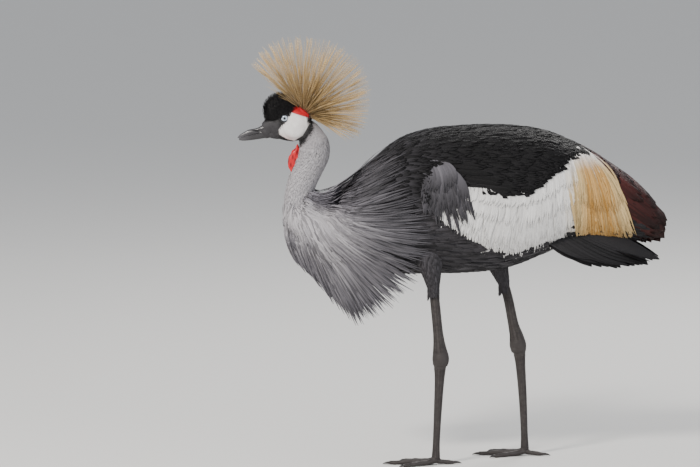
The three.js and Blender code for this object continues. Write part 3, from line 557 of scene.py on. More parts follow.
def inside(points, outline, soft):
    """1 inside an outline in the side view, 0 outside, with an edge that is soft millimetres wide."""
    x, z = points[..., 0], points[..., 2]
    outline = np.asarray(outline, float)
    nearest = np.full(x.shape, 1e9)
    within = np.zeros(x.shape, bool)
    for (ax, az), (bx, bz) in zip(outline, np.roll(outline, -1, axis=0)):
        t = np.clip(((x - ax) * (bx - ax) + (z - az) * (bz - az)) / ((bx - ax) ** 2 + (bz - az) ** 2), 0, 1)
        nearest = np.minimum(nearest, np.hypot(x - ax - t * (bx - ax), z - az - t * (bz - az)))
        crosses = ((az > z) != (bz > z)) & (x < (bx - ax) * (z - az) / (bz - az + 1e-12) + ax)
        within ^= crosses
    return ease(np.where(within, nearest, -nearest), -soft, soft)


def bare(points):
    """The naked skin of cheek and patch."""
    return np.maximum(inside(points, CHEEK, 0.8), inside(points, RED_PATCH, 0.8))


def head_tint(points):
    z = points[..., 2]
    neck_grey = mix(PEARL, PEARL * 0.8, ease(z, 560, 640))
    tint = mix(neck_grey, BLACK, inside(points, FACE_BLACK, 3))
    front = ease(-points[..., 0], 322, 330) * ease(-z, -652, -646)
    tint = mix(tint, LORES, front * inside(points, FACE_BLACK, 3))
    cheek = mix(WHITE, np.array([0.80, 0.55, 0.52]),
                ease(-z, -632, -614) * ease(-points[..., 0], 292, 312) * 0.6)
    tint = mix(tint, cheek, inside(points, CHEEK, 1.2))
    return mix(tint, RED, inside(points, RED_PATCH, 1.4))


def body_tint(points):
    x = points[..., 0]
    chest = mix(PEARL, SLATE * 1.2, ease(x, -250, -170))
    return mix(chest, BLACK * 1.6, ease(x, -110, -20))


print("markings ready, cheek reaches", min(p[1] for p in CHEEK), "to", max(p[1] for p in CHEEK))

# %% [markdown]
# ## One skin from bill to rump
# The head is grown together from a few simple lofts with a fine voxel remesh, which leaves soft creases
# like real skin. The neck and body are two lofts grown together more coarsely. A union joins both skins
# under the nape feathers, so no seam shows. The skin lies inside the solids by the depth of the coat.

# %% Head and body skin
SKULL = [[-353, 0, 632, 14, 9], [-340, 0, 638, 20, 13], [-324, 0, 640, 27, 18], [-305, 0, 643, 33, 22],
         [-287, 0, 647, 32, 23], [-272, 0, 649, 23, 18]]
EYE = np.array([-315.0, 12.5, 656.0])
EYE_RADIUS = 7.5
SOCKET_REACH, RIM_RADIUS = 13, 8.2  # the skin moves inside the first, and swells most at the second
UNDER_NECK, UNDER_BODY = 3.5, 13.0  # how deep the skin lies below the coat


def tube_rings(stations, steps, sides, depth=0.0, start=0.0, end=1.0):
    share = np.linspace(start, end, steps)[:, None]
    return tube_point(stations, share, np.arange(sides)[None] * 360 / sides, depth)


def ellipsoid(name, centre, radii, lean=0.0, steps=24, sides=36):
    polar = np.linspace(0.04, math.pi - 0.04, steps)[:, None]
    turn = np.linspace(0, 2 * math.pi, sides, endpoint=False)[None]
    level = np.sin(polar)
    ball = np.stack([level * np.cos(turn), level * np.sin(turn), np.cos(polar) + 0 * turn], -1)
    x, y, z = np.moveaxis(ball * radii, -1, 0)
    c, s = math.cos(math.radians(lean)), math.sin(math.radians(lean))
    turned = np.stack([x * c + z * s, y, -x * s + z * c], -1)
    return loft(name, turned + np.asarray(centre, float))


head_parts = [
    loft("skull", tube_rings(SKULL, 24, 40, depth=0.7)),
    ellipsoid("forehead", (-321, 0, 672), (34, 18.5, 29), -20),
    ellipsoid("crown", (-280, 0, 665), (20, 14, 11), 42),
    loft("nape", tube_rings(NECK, 24, 40, depth=2.5, end=0.32)),
    ellipsoid("bill base", (-349, 0, 629), (12, 9.5, 13), 10),
    ellipsoid("chin", (-330, 0, 624), (22, 10, 9), 4),
]
for side in (-1, 1):
    head_parts.append(ellipsoid("brow", (-312, side * 13.5, 662), (13, 6.2, 6.5), -12))
    head_parts.append(ellipsoid("cheek", (-297, side * 15.5, 638), (22, 8.5, 20), 12))
head = fuse("head_skin", head_parts, voxel=1.0, relax=3)
p = points_of(head)
for side in (-1, 1):
    eye = EYE * (1, side, 1)
    away_from_eye = np.hypot(p[:, 0] - eye[0], p[:, 2] - eye[2])
    near = (p[:, 1] * side > 6) & (away_from_eye < SOCKET_REACH)
    rim = np.exp(-((away_from_eye - RIM_RADIUS) / 1.5) ** 2) * 0.9
    socket = ease(-away_from_eye, -7.4, -5.2) * 6
    p[near, 1] += side * (rim - socket)[near]
move_points(head, p)
paint(head, head_tint(p))

neck_skin = loft("neck_loft", tube_rings(NECK, 60, 48, depth=UNDER_NECK, start=0.22, end=0.86))
x = np.linspace(-205, 372, 70)[:, None]
body_skin = loft("body_loft", body_point(x, np.arange(64)[None] * 360 / 64, UNDER_BODY))
trunk = fuse("trunk_skin", [neck_skin, body_skin], voxel=3.6, relax=8)
p = points_of(trunk)
paint(trunk, mix(head_tint(p), body_tint(p), ease(p[:, 2] * -1, -480, -440)))
union = head.modifiers.new("one skin", "BOOLEAN")
union.operation = "UNION"
union.solver = "EXACT"
union.object = trunk
bpy.context.view_layer.objects.active = head
bpy.ops.object.modifier_apply(modifier=union.name)
bpy.data.objects.remove(trunk)
skin = head
skin.name = "skin"
skin.data.polygons.foreach_set("use_smooth", np.ones(len(skin.data.polygons), bool))
p = points_of(skin)
paint(skin, mix(head_tint(p), body_tint(p), ease(p[:, 0] - p[:, 2] * 0.4, -440, -400)))
print("skin:", len(skin.data.polygons), "faces")
finish_piece(skin, bare_skin, ["head", "neck_upper", "neck_lower", "torso"])

# %% [markdown]
# ## Eyes and lids
# A crane's eye is a pale blue-grey ring round a small black pupil, very wet. The colour is drawn on one
# ball by the distance from its own middle, seen from the side. A lid is a thin ring that follows the ball.

# %% Eyes
IRIS_RADIUS = 7.4
LID_STEPS, LID_SIDES, LID_RADIUS = 72, 12, 7.0
LID_BALL = 7.7  # the ball on which the lids lie, a little larger than the eye


def eye_material(name):
    material, tree, shader = new_material(name, 0.06, specular=0.4, coat=0.5)
    place = tree.nodes.new("ShaderNodeTexCoord")
    centred = tree.nodes.new("ShaderNodeVectorMath")
    centred.operation = "SUBTRACT"
    tree.links.new(place.outputs["Object"], centred.inputs[0])
    centred.inputs[1].default_value = (EYE[0] / 1000, 0, EYE[2] / 1000)
    flat = tree.nodes.new("ShaderNodeVectorMath")
    flat.operation = "MULTIPLY"
    flat.inputs[1].default_value = (1, 0, 1)
    tree.links.new(centred.outputs[0], flat.inputs[0])
    away = tree.nodes.new("ShaderNodeVectorMath")
    away.operation = "LENGTH"
    tree.links.new(flat.outputs[0], away.inputs[0])
    fibres = tree.nodes.new("ShaderNodeTexNoise")
    fibres.inputs["Scale"].default_value = 900
    tree.links.new(place.outputs["Object"], fibres.inputs["Vector"])
    ramp = tree.nodes.new("ShaderNodeValToRGB")
    ramp.color_ramp.elements[0].position = 0.30
    ramp.color_ramp.elements[0].color = (0.002, 0.002, 0.003, 1)
    ramp.color_ramp.elements[1].position = 0.34
    ramp.color_ramp.elements[1].color = (0.30, 0.36, 0.45, 1)
    for position, colour in ((0.55, (0.62, 0.69, 0.78, 1)), (0.86, (0.42, 0.47, 0.56, 1)),
                             (0.95, (0.03, 0.03, 0.035, 1))):
        ramp.color_ramp.elements.new(position).color = colour
    ring = math_node(tree, "MULTIPLY", away.outputs["Value"], 1000 / IRIS_RADIUS)
    frayed = math_node(tree, "MULTIPLY_ADD", fibres.outputs["Fac"], 0.06, -0.03)
    tree.links.new(math_node(tree, "ADD", ring, frayed), ramp.inputs["Fac"])
    tree.links.new(ramp.outputs["Color"], shader.inputs["Base Color"])
    return material


iris = eye_material("iris and cornea")
for side, word in ((-1, "left"), (1, "right")):
    ball = ellipsoid(f"eyeball_{word}", EYE * (1, side, 1), (EYE_RADIUS, EYE_RADIUS, EYE_RADIUS), 0, 32, 48)
    finish_piece(ball, iris, [f"eye_{word}"])
    turn = np.linspace(0, 2 * math.pi, LID_STEPS, endpoint=False)
    tube_angle = np.linspace(0, 2 * math.pi, LID_SIDES, endpoint=False)
    squash = 1 - 0.16 * np.abs(np.sin(turn))
    ring_x = EYE[0] + np.cos(turn) * LID_RADIUS
    ring_z = EYE[2] + np.sin(turn) * LID_RADIUS * squash
    over = LID_BALL**2 - (ring_x - EYE[0]) ** 2 - (ring_z - EYE[2]) ** 2
    inner = EYE[1] + np.sqrt(np.maximum(0, over))
    thick = 0.8 + 0.25 * np.sin(turn)
    lid = np.stack([
        ring_x[:, None] + np.cos(turn)[:, None] * np.cos(tube_angle) * thick[:, None],
        side * (inner[:, None] + np.sin(tube_angle) * thick[:, None]),
        ring_z[:, None] + np.sin(turn)[:, None] * np.cos(tube_angle) * thick[:, None],
    ], -1)
    r, i = np.meshgrid(np.arange(LID_STEPS), np.arange(LID_SIDES), indexing="ij")
    here, after, i2 = LID_SIDES * r, LID_SIDES * ((r + 1) % LID_STEPS), (i + 1) % LID_SIDES
    quads = np.stack([here + i, here + i2, after + i2, after + i], -1).reshape(-1, 4)
    if side > 0:
        quads = quads[:, ::-1]
    rim = build_mesh(f"lid_{word}", lid.reshape(-1, 3), quads, [],
                     np.tile(BLACK * 2, (LID_STEPS * LID_SIDES, 1)))
    finish_piece(rim, bare_skin)
print("eyes", EYE_RADIUS * 2, "mm across")

# %% [markdown]
# ## Bill
# The two halves are closed lofts between measured curves: ridge, gape and keel. They share the gape line,
# so the mouth closes along one dark slit. The nostril is a narrow groove pressed into the sides of the
# upper half and darkened with painted shade. The horn's colour is darker at the base and grows paler
# towards the tip as a painted highlight.

# %% Bill
RIDGE = [[-404.5, 617.6], [-400, 622.6], [-394, 626.6], [-383, 632.2], [-367, 635.8], [-353, 643],
         [-332, 647]]
GAPE = [[-404.5, 616.4], [-396, 618.6], [-390, 620.6], [-370, 625.2], [-350, 629.0], [-332, 629.4]]
KEEL = [[-402, 613.6], [-394, 612.2], [-379, 613.2], [-352, 617.2], [-332, 621]]
HALF_BILL = [[-404.5, 1.2], [-396, 3.5], [-383, 5.2], [-368, 6.3], [-353, 7.4], [-332, 7]]


def bill_half(tip, above, below, wide, flat_below):
    """Rings of one half of the bill: round outside and flat where the halves meet."""
    x = np.linspace(-332, tip, 96)[:, None]
    a = np.linspace(0, 2 * math.pi, 56, endpoint=False)[None]
    high, low = smooth(above, x)[0], smooth(below, x)[0]
    share = np.sign(np.cos(a)) * np.abs(np.cos(a)) ** 0.85
    if flat_below:
        z = low + (high - low) * np.maximum(share, 0) + 0.5 * np.minimum(share, 0) + 0.5
    else:
        z = high + (high - low) * np.minimum(share, 0) + 0.4 * np.maximum(share, 0) - 0.75
    y = smooth(HALF_BILL, x)[0] * wide * np.sign(np.sin(a)) * np.abs(np.sin(a)) ** 0.85
    return np.stack([x + 0 * a, y, z], -1)


for name, rings, node in (
    ("bill_top", bill_half(-404.3, RIDGE, GAPE, 1.0, True), "bill_upper"),
    ("bill_bottom", bill_half(-401.6, GAPE, KEEL, 0.93, False), "bill_lower"),
):
    along = (rings[..., 0] + 367) / 7.5
    slit = np.exp(-(along**4) - ((rings[..., 2] - 630.6 + along * 1.6) / 1.1) ** 2)
    hollow = np.exp(-((rings[..., 0] + 362) / 16) ** 2 - ((rings[..., 2] - 632 + along * 1.0) / 3.0) ** 2)
    if name == "bill_bottom":
        slit, hollow = 0 * slit, 0 * hollow
    rings[..., 1] *= 1 - 0.42 * slit - 0.16 * hollow
    # painted highlight: the horn's colour grows paler towards the tip of the bill
    tone = mix(HORN * 0.75, HORN * 1.6, ease(-rings[..., 0], 372, 402))
    # darker towards the base, and painted shade darkens the nostril groove
    tone = mix(tone, HORN * 0.6, ease(rings[..., 0], -362, -350)) * (1 - 0.75 * slit[..., None])
    # end caps: darker at the base, and the tip's painted highlight at the tip
    ends = np.array([HORN * 0.5, HORN * 1.7])
    piece = loft(name, rings, np.concatenate([tone.reshape(-1, 3), ends]))
    finish_piece(piece, bill_horn, [node])
print("bill", round(RIDGE[-2][0] - RIDGE[0][0]), "mm from the feathers to the tip")

# %% [markdown]
# ## Wattle
# The wattle is a red flap of bare skin under the throat. It is made as two hanging folds side by side,
# grown together, and creased by waves; painted shade darkens the colour in its hollows.

# %% Wattle
wattle_parts = []
for side in (-1, 1):
    down = np.linspace(0, 1, 46)[:, None]
    turn = np.linspace(0, 2 * math.pi, 40, endpoint=False)[None]
    outline = np.sin(np.pi * np.clip(down, 0.01, 0.995) ** 0.85) ** 0.7
    wide = (2.0 + 10.5 * outline) * (1 - 0.25 * (1 - down))
    thin = 1.2 + 3.6 * outline
    crease = 1 + 0.16 * np.sin(turn * 3 + down * 7 + side)
    px = -293 - 4 * np.sin(down * 3.0) + np.cos(turn) * wide * crease
    py = side * (3.4 + 1.8 * down) + np.sin(turn) * thin * crease
    pz = 601 - 50 * down + np.cos(turn) * 4
    wattle_parts.append(loft("wattle_fold", np.stack([px, py, pz], -1)))
wattle = fuse("wattle", wattle_parts, voxel=0.7, relax=2)
p = points_of(wattle)
fold = np.sin(p[:, 0] * 0.42 + p[:, 2] * 0.30) + 0.6 * np.sin(p[:, 0] * 0.9 - p[:, 2] * 0.22)
p += normals_of(wattle) * (fold * 0.45)[:, None]
move_points(wattle, p)
# painted shade: the red darkens where the folds sink in
paint(wattle, mix(RED * 1.05, RED * 0.45, ease(-fold, 0.1, 1.3)))
finish_piece(wattle, wattle_skin, ["throat_wattle"])
print("wattle:", len(wattle.data.polygons), "faces")

# %% [markdown]
# ## Feathers in rows
# On a real bird each feather overlaps the next like a roof tile, so a coat is laid from the tail forwards
# and from the edges inwards. Here each row is a line of roots and a line of tips in the side view. The
# feathers run between them on the body's surface, rooted a little deeper than their tips, each a touch
# different in length, turn and tone.

# %% Rows of feathers
def across_line(line, share):
    """Points at shares 0 to 1 along a line of (x, z) marks."""
    line = np.asarray(line, float)
    steps = np.r_[0, np.cumsum(np.hypot(*np.diff(line, axis=0).T))]
    at = np.asarray(share) * steps[-1]
    return np.stack([np.interp(at, steps, line[:, 0]), np.interp(at, steps, line[:, 1])], -1)


def on_body(x, z, side, depth):
    return body_point(x, side * angle_at(x, z), depth)


def outward(x, angle):
    """The body's own normal."""
    along = body_point(x + 1, angle, 0) - body_point(x - 1, angle, 0)
    around = body_point(x, angle + 1, 0) - body_point(x, angle - 1, 0)
    normal = np.cross(around, along)
    normal /= np.linalg.norm(normal, axis=-1, keepdims=True) + 1e-9
    centre = body_point(x, angle, 60)
    facing = ((body_point(x, angle, 0) - centre) * normal).sum(-1, keepdims=True)
    return normal * np.where(facing < 0, -1, 1)


UNWRAP = (230, 640, 400)  # start before the middle and length of the body in the unwrap, and its full turn


def body_root_uv(x, angle):
    return np.stack([(np.asarray(x) + UNWRAP[0]) / UNWRAP[1], np.asarray(angle) / UNWRAP[2] + 0.5], -1)


def side_row(roots, tips, count, width, sink, rest, steps=7, bow=0.0, jitter=0.04, slip=0.3, bend=0.0):
    """Spines, normals and widths of one row on both sides, between two lines in the side view.

    sink and rest are the depths below the coat at root and tip; slip mixes the order of the depths; bow
    swings the middle of a feather to the rear, and bend lets each go its own way.
    """
    share = (np.arange(count) + 0.5) / count + rng.normal(0, 0.35 / count, count)
    share = np.clip(share, 0, 1)
    start = across_line(roots, share)
    end = across_line(tips, np.clip(share + rng.normal(0, jitter, count) * 0.3, 0, 1))
    length = 1 + rng.normal(0, jitter, count)
    end = start + (end - start) * length[:, None]
    t = np.linspace(0, 1, steps)
    flat = start[:, None] + (end - start)[:, None] * t[:, None]
    bowed = bow + rng.normal(0, 0.25, (count, 1)) * abs(bow) + rng.normal(0, bend, (count, 1))
    sag = np.sin(np.pi * t) * bowed
    normal = np.stack([-(end - start)[:, 1], (end - start)[:, 0]], -1)
    normal /= np.linalg.norm(normal, axis=-1, keepdims=True) + 1e-9
    flat += normal[:, None] * sag[..., None]
    lift = sink + (rest - sink) * t[None] ** 0.8 + rng.uniform(-slip, slip, (count, 1))
    x, z = flat[..., 0], flat[..., 1]
    spines, outs, uvs = [], [], []
    for side in (-1, 1):
        angle = side * angle_at(x, z)
        spines.append(body_point(x, angle, lift))
        outs.append(outward(x, angle))
        uvs.append(body_root_uv(x[:, 0], angle[:, 0]))
    widths = np.tile(leaf(steps)[None] * width * rng.uniform(0.85, 1.15, (count, 1)), (2, 1))
    return np.concatenate(spines), np.concatenate(outs), widths, np.concatenate(uvs), np.tile(share, 2)


def gather(rows):
    return [np.concatenate(column) for column in zip(*rows)]


def lay_rows(table, **how):
    """Spines, normals, widths, places in the unwrap and shares along the row, for all rows of a table."""
    return gather([side_row(*row, **how) for row in table])


def tinted(base, count, steps, spread=0.08, to=None, power=1.0):
    """Tints from base at the root to another at the tip, each feather a little different."""
    t = np.linspace(0, 1, steps) ** power
    start = np.broadcast_to(np.asarray(base, float), (count, 3))
    end = start if to is None else np.broadcast_to(np.asarray(to, float), (count, 3))
    tint = mix(start[:, None], end[:, None], np.broadcast_to(t, (count, steps)))
    return np.clip(tint * (1 + rng.normal(0, spread, (count, 1, 1))), 0, 1)


print("a row on the shoulder lies", round(float(on_body(40.0, 540.0, -1, 0)[1])), "mm off the middle")

# %% [markdown]
# ## The black mantle
# The back is black with a soft bloom. Its feathers are rounded and point to the tail. They are laid down as
# a jittered grid on the body's surface, each rooted deeper than its tip, so every feather lies over the
# next one behind it. Where they meet the wing they end at its edge.

# %% Mantle, belly and flank
def coat_patch(name, x_from, x_to, low, high, spacing, length, width, base, to, lift, sink,
               steps=5, aim=None, spread=0.1, clear_of=(), over=False, drop=0.07):
    """Feathers on a jittered grid of the body between two angles, rooted outside the given areas.

    low and high give the angle at each x; spacing is the step along the body and round it; length and width
    are ranges; lift and sink are the depths of tip and root. A feather that would run into such an area ends
    at its edge, a little over what is there or under it.
    """
    xs, angles = [], []
    for x in np.arange(x_from, x_to, spacing[0]):
        a = np.arange(-180, 180, spacing[1]) + rng.uniform(0, spacing[1])
        least, most = (np.interp(x, *np.asarray(edge, float).T) for edge in (low, high))
        keep = (np.abs(a) >= least) & (np.abs(a) <= most)
        xs.append(np.full(keep.sum(), x))
        angles.append(a[keep])
    x = np.concatenate(xs) + rng.normal(0, spacing[0] * 0.3, sum(map(len, xs)))
    angle = np.concatenate(angles)
    for area in clear_of:
        free = inside(body_point(x, angle, 0), area, 2) < 0.5
        x, angle = x[free], angle[free]
    n = len(x)
    long = rng.uniform(*length, n)
    t = np.linspace(0, 1, steps)
    turn = np.zeros(n) if aim is None else aim(x, angle)
    turn = turn + rng.normal(0, 0.07, n)
    px = x[:, None] + (long * np.cos(turn))[:, None] * t
    girth = np.linalg.norm(body_point(x, angle + 1, 0) - body_point(x, angle - 1, 0), axis=-1) / 2
    pa = angle[:, None] + (np.sign(angle) * long * np.sin(turn) / np.maximum(girth, 0.5))[:, None] * t
    depth = sink + (lift - sink) * t[None] ** 0.8 + rng.uniform(-0.5, 0.5, (n, 1))
    for area in clear_of:
        free = (inside(body_point(px, pa, 0), area, 2) < 0.5).cumprod(axis=1).mean(1, keepdims=True)
        kept = np.minimum(1, free + 0.06)
        px = px[:, :1] + (px - px[:, :1]) * kept
        pa = pa[:, :1] + (pa - pa[:, :1]) * kept
        depth = depth + np.where(over, -1.2, 3.0) * inside(body_point(px, pa, 0), area, 3)
    spine = body_point(px, pa, depth)
    widths = leaf(steps, 0.5, 0.35) * rng.uniform(*width, (n, 1))
    tint = tinted(base(x, angle) if callable(base) else base, n, steps, spread, to)
    return vane_mesh(name, spine, outward(px, pa), widths, tint, body_root_uv(x, angle), thick=0.5,
                     drop=drop)


def shoulder_shade(x, angle):
    """Slate at the shoulder, black behind it."""
    return mix(SLATE * 1.3, BLACK * 0.7, ease(x + np.abs(angle) * -0.4, -190, -70))


under_mantle = coat_patch(
    "coat_mantle_under", -208, 246, [[-300, 0], [400, 0]], [[-215, 60], [-160, 90], [40, 90], [246, 90]],
    (15, 8), (56, 80), (22, 28), shoulder_shade, BLACK * 0.6, 4.0, 7.5,
    steps=6, spread=0.1, clear_of=(WING_AREA,))
finish_piece(under_mantle, mantle_plumage)
mantle = coat_patch(
    "coat_mantle", -205, 240, [[-300, 0], [400, 0]], [[-215, 60], [-160, 88], [40, 92], [240, 90]],
    (8, 3.6), (70, 105), (8.5, 12.5), shoulder_shade, BLACK * 0.5, 0.5, 5.5, steps=7,
    aim=lambda x, a: 0.16 * np.abs(a) / 60, spread=0.3, clear_of=(WING_AREA, LOBE_AREA), over=True)
finish_piece(mantle, mantle_plumage)
flank = coat_patch(
    "coat_flank", -185, -6, [[-300, 56], [0, 56]], [[-300, 118], [0, 118]],
    (9, 5), (60, 95), (6, 9), SLATE * 1.25, BLACK * 3.0, 1.6, 6.5,
    steps=6, spread=0.25, clear_of=(WHITE_AREA, LOBE_AREA))
finish_piece(flank, soft_plumage)
belly = coat_patch(
    "coat_belly", -190, 236, [[-210, 96], [-60, 98], [100, 104], [240, 96]], [[-300, 180], [400, 180]],
    (9, 5), (52, 80), (6, 9.5), SLATE * 0.7, BLACK * 2.2, 1.6, 7.0,
    steps=6, spread=0.3, clear_of=(WING_AREA,))
finish_piece(belly, soft_plumage)

# %% [markdown]
# ## Wings
# A folded crane's wing is a stack: black primaries low and behind, maroon secondaries above them, the
# golden tuft hanging over both, and the long white coverts in front. The white and golden feathers are
# loose, so they are thin, many, and each goes its own way a little.

# %% White coverts, golden tuft and maroon secondaries
WHITE_ROWS = [
    # roots, tips, count a side, width, depth at root, depth at tip
    ([(-30, 500), (10, 520), (60, 512), (120, 510), (176, 530), (226, 566)],
     [(-30, 462), (6, 436), (76, 396), (140, 396), (190, 410), (254, 426)], 44, 26, 8.2, 6.4),
    ([(-34, 486), (20, 480), (60, 466), (110, 452), (170, 456), (226, 480)],
     [(-32, 462), (16, 440), (60, 412), (104, 391), (160, 402), (256, 424)], 96, 8.5, 6.4, 4.4),
    ([(-30, 500), (20, 500), (60, 492), (110, 484), (170, 490), (226, 520)],
     [(-30, 466), (18, 442), (66, 406), (118, 396), (176, 408), (256, 428)], 104, 8, 5.6, 3.4),
    ([(-20, 514), (30, 522), (80, 514), (120, 514), (168, 530), (222, 566)],
     [(-26, 470), (20, 446), (70, 412), (124, 404), (182, 416), (254, 438)], 110, 7.5, 4.8, 2.4),
    ([(4, 524), (40, 532), (84, 525), (126, 526), (168, 549), (208, 583), (224, 596)],
     [(-8, 478), (34, 452), (78, 424), (130, 414), (184, 424), (250, 462)], 116, 7, 4.0, 1.4),
    ([(16, 531), (52, 531), (92, 526), (132, 529), (172, 553), (208, 584), (228, 599)],
     [(6, 492), (50, 480), (92, 462), (138, 454), (186, 470), (246, 510)], 110, 6.5, 3.6, 0.8),
    ([(22, 534), (56, 532), (96, 527), (136, 530), (174, 554), (208, 584), (230, 599)],
     [(18, 512), (58, 504), (98, 496), (144, 496), (190, 516), (244, 548)], 96, 6.0, 3.0, 0.2),
]
spine, out, width, root_uv, share = lay_rows(WHITE_ROWS, steps=7, bow=3, jitter=0.07, slip=0.4, bend=1.8)
# painted shade: each white covert is darker at its root and white at its tip
tint = tinted(WHITE * 0.78, len(share), 7, 0.06, WHITE)
warm = ease(share, 0.84, 1.0)
tint = mix(tint, tint * np.array([0.98, 0.86, 0.66]), warm[:, None] * ease(np.linspace(0, 1, 7), 0.1, 0.8))
coverts = vane_mesh("coverts_white", spine, out, width, tint, root_uv, thick=0.5, drop=0.06)
finish_piece(coverts, white_plumage, ["wing_left", "wing_right"])

GOLD_ROWS = [
    ([(214, 540), (226, 556), (244, 566), (260, 566)],
     [(246, 420), (282, 410), (318, 416), (350, 446)], 70, 7.5, 3.2, 0.6),
    ([(214, 560), (228, 576), (246, 586), (262, 584)],
     [(240, 424), (276, 412), (312, 416), (346, 444)], 84, 6.5, 2.2, -0.4),
    ([(222, 584), (236, 596), (250, 598), (262, 594)],
     [(236, 440), (270, 420), (308, 422), (345, 452)], 84, 5.5, 1.4, -1.2),
    ([(226, 596), (240, 604), (252, 600), (264, 592)],
     [(244, 500), (276, 484), (308, 488), (332, 502)], 60, 5.0, 0.8, -1.6),
]
spine, out, width, root_uv, share = lay_rows(GOLD_ROWS, steps=9, bow=9, jitter=0.05, slip=0.5, bend=2.5)
width = width * np.linspace(1.0, 0.72, 9)
t = np.linspace(0, 1, 9)
GOLD = np.array([0.42, 0.20, 0.035])
PALE_GOLD = np.array([0.62, 0.44, 0.21])
heart = ease(0.44 - np.abs(share - 0.46), 0.0, 0.24)
full = mix(np.broadcast_to(PALE_GOLD, (len(share), 3)), GOLD, heart * rng.uniform(0.45, 1.0, len(share)))
golden_share = ease(t, 0.04, 0.42)[None] * np.ones((len(share), 1))
tint = mix(np.broadcast_to(WHITE * 0.95, (len(share), 1, 3)), full[:, None], golden_share)
tint = np.clip(tint * (1 + rng.normal(0, 0.13, (len(share), 1, 1))), 0, 1)
golden = vane_mesh("tuft_golden", spine, out, width, tint, root_uv, thick=0.6)
finish_piece(golden, white_plumage)

MAROON_ROWS = [
    ([(226, 560), (220, 536), (216, 508), (214, 470)],
     [(396, 468), (394, 440), (374, 426), (330, 420)], 20, 36, 7.5, 3.8),
    ([(228, 590), (224, 566), (220, 538), (218, 512)],
     [(399, 462), (398, 438), (382, 426), (352, 422)], 20, 34, 6.2, 2.4),
    ([(232, 606), (232, 596), (228, 574), (224, 556)],
     [(392, 486), (398, 464), (397, 446), (386, 432)], 18, 32, 4.8, 1.2),
    ([(236, 612), (238, 604), (238, 592), (236, 572)],
     [(366, 520), (384, 496), (392, 476), (386, 452)], 16, 30, 3.4, 0.5),
    ([(238, 612), (240, 606), (242, 598), (242, 584)],
     [(318, 560), (340, 540), (356, 516), (354, 498)], 14, 26, 2.4, 0.2),
    ([(236, 614), (240, 608), (244, 602), (246, 592)],
     [(282, 584), (300, 570), (314, 552), (318, 534)], 12, 22, 1.6, 0.0),
]
spine, out, width, root_uv, share = lay_rows(MAROON_ROWS, steps=10, bow=5, jitter=0.025, slip=0.25, bend=1)
width = width / leaf(10) * leaf(10, 0.4, 0.55, 0.6)
# painted shade: maroon at the root darkens to near black at the lower tips
tint = tinted(MAROON * 1.35, len(share), 10, 0.2, MAROON * 0.35, power=2.2)
secondaries = vane_mesh("secondaries_maroon", spine, out, width, tint, root_uv, thick=0.8, drop=0.05)
finish_piece(secondaries, stiff_plumage)

# %% [markdown]
# ## Rump, primaries and tail
# The primaries and tail feathers are stiff and few, so each is given by three points in space: root, middle
# and tip. Softer feathers close the coat over the rump and under the tail.

# %% Rump, primaries and tail
def space_vanes(name, starts, middles, ends, width, base, to, steps=12, face=(0.25, 1.0), drop=0.08):
    """Stiff feathers through three points each, given for the left side and mirrored."""
    starts, middles, ends = (np.asarray(a, float) for a in (starts, middles, ends))
    t = np.linspace(0, 1, steps)[None, :, None]
    spine = (1 - t) ** 2 * starts[:, None] + 2 * t * (1 - t) * middles[:, None] + t**2 * ends[:, None]
    both = np.concatenate([spine, spine * (1, -1, 1)])
    out = np.zeros_like(both)
    out[: len(spine), :, 1] = -face[0]
    out[len(spine):, :, 1] = face[0]
    out[..., 2] = face[1]
    n = len(both)
    widths = leaf(steps, 0.35, 0.16, 0.6) * width * rng.uniform(0.92, 1.08, (n, 1))
    root_uv = body_root_uv(np.minimum(both[:, 0, 0], 390), np.where(both[:, 0, 1] < 0, -110, 110))
    return vane_mesh(name, both, out, widths, tinted(base, n, steps, 0.15, to), root_uv, thick=1.0,
                     drop=drop)


LAYERS = 2
n = 13
s = np.tile(np.linspace(0, 1, n), LAYERS)
layer = np.repeat(np.arange(LAYERS), n)
first = mix(np.array([156, -40, 446.0]), np.array([214, -36, 462.0]), s)
last = mix(np.array([262, -40, 390.0]), np.array([388, -30, 392.0]), s)
last[:, 2] += rng.normal(0, 3, n * LAYERS) - np.sin(s * math.pi) * 13 - layer * 5
last[:, 0] += rng.normal(0, 4, n * LAYERS) - layer * 10
last[:, 1] += s * 6 + layer * 5
first[:, 1] += layer * 5
middle = (first + last) / 2 + [4, -4, 2]
primaries = space_vanes("primaries", first, middle, last, 30, BLACK * 1.5, BLACK, face=(1.0, 0.55),
                        drop=0.05)
finish_piece(primaries, stiff_plumage)

n = 7
spread = np.linspace(0.04, 1, n)
roots = np.stack([np.full(n, 256.0), -spread * 12, np.full(n, 434.0) + 2 * (1 - spread)], -1)
tips = np.stack([392 - spread**2 * 22, -spread * 34, 384 + (1 - spread) * 8], -1)
middles = (roots + tips) / 2 + [0, 0, 5]
tail = space_vanes("tail_feathers", roots, middles, tips, 27, BLACK * 1.8, BLACK, face=(0.1, 1.0))
finish_piece(tail, stiff_plumage, ["tail"])

rump = coat_patch(
    "coat_rump", 222, 336, [[200, 0], [400, 0]], [[200, 60], [300, 70], [400, 80]],
    (10, 8), (40, 58), (12, 17), MAROON * 0.7, MAROON * 0.9, 3.4, 7.5, spread=0.2)
finish_piece(rump, soft_plumage)
under = coat_patch(
    "coat_under_tail", 200, 330, [[200, 104], [400, 110]], [[200, 180], [400, 180]],
    (13, 10), (44, 70), (9, 14), BLACK * 2.0, BLACK * 1.2, 0.5, 6.0, spread=0.2)
finish_piece(under, soft_plumage)

# %% [markdown]
# ## The grey shoulder
# A lobe of loose grey feathers hangs from the shoulder over the front of the white coverts. It is three
# rows thick and darker at the tips.

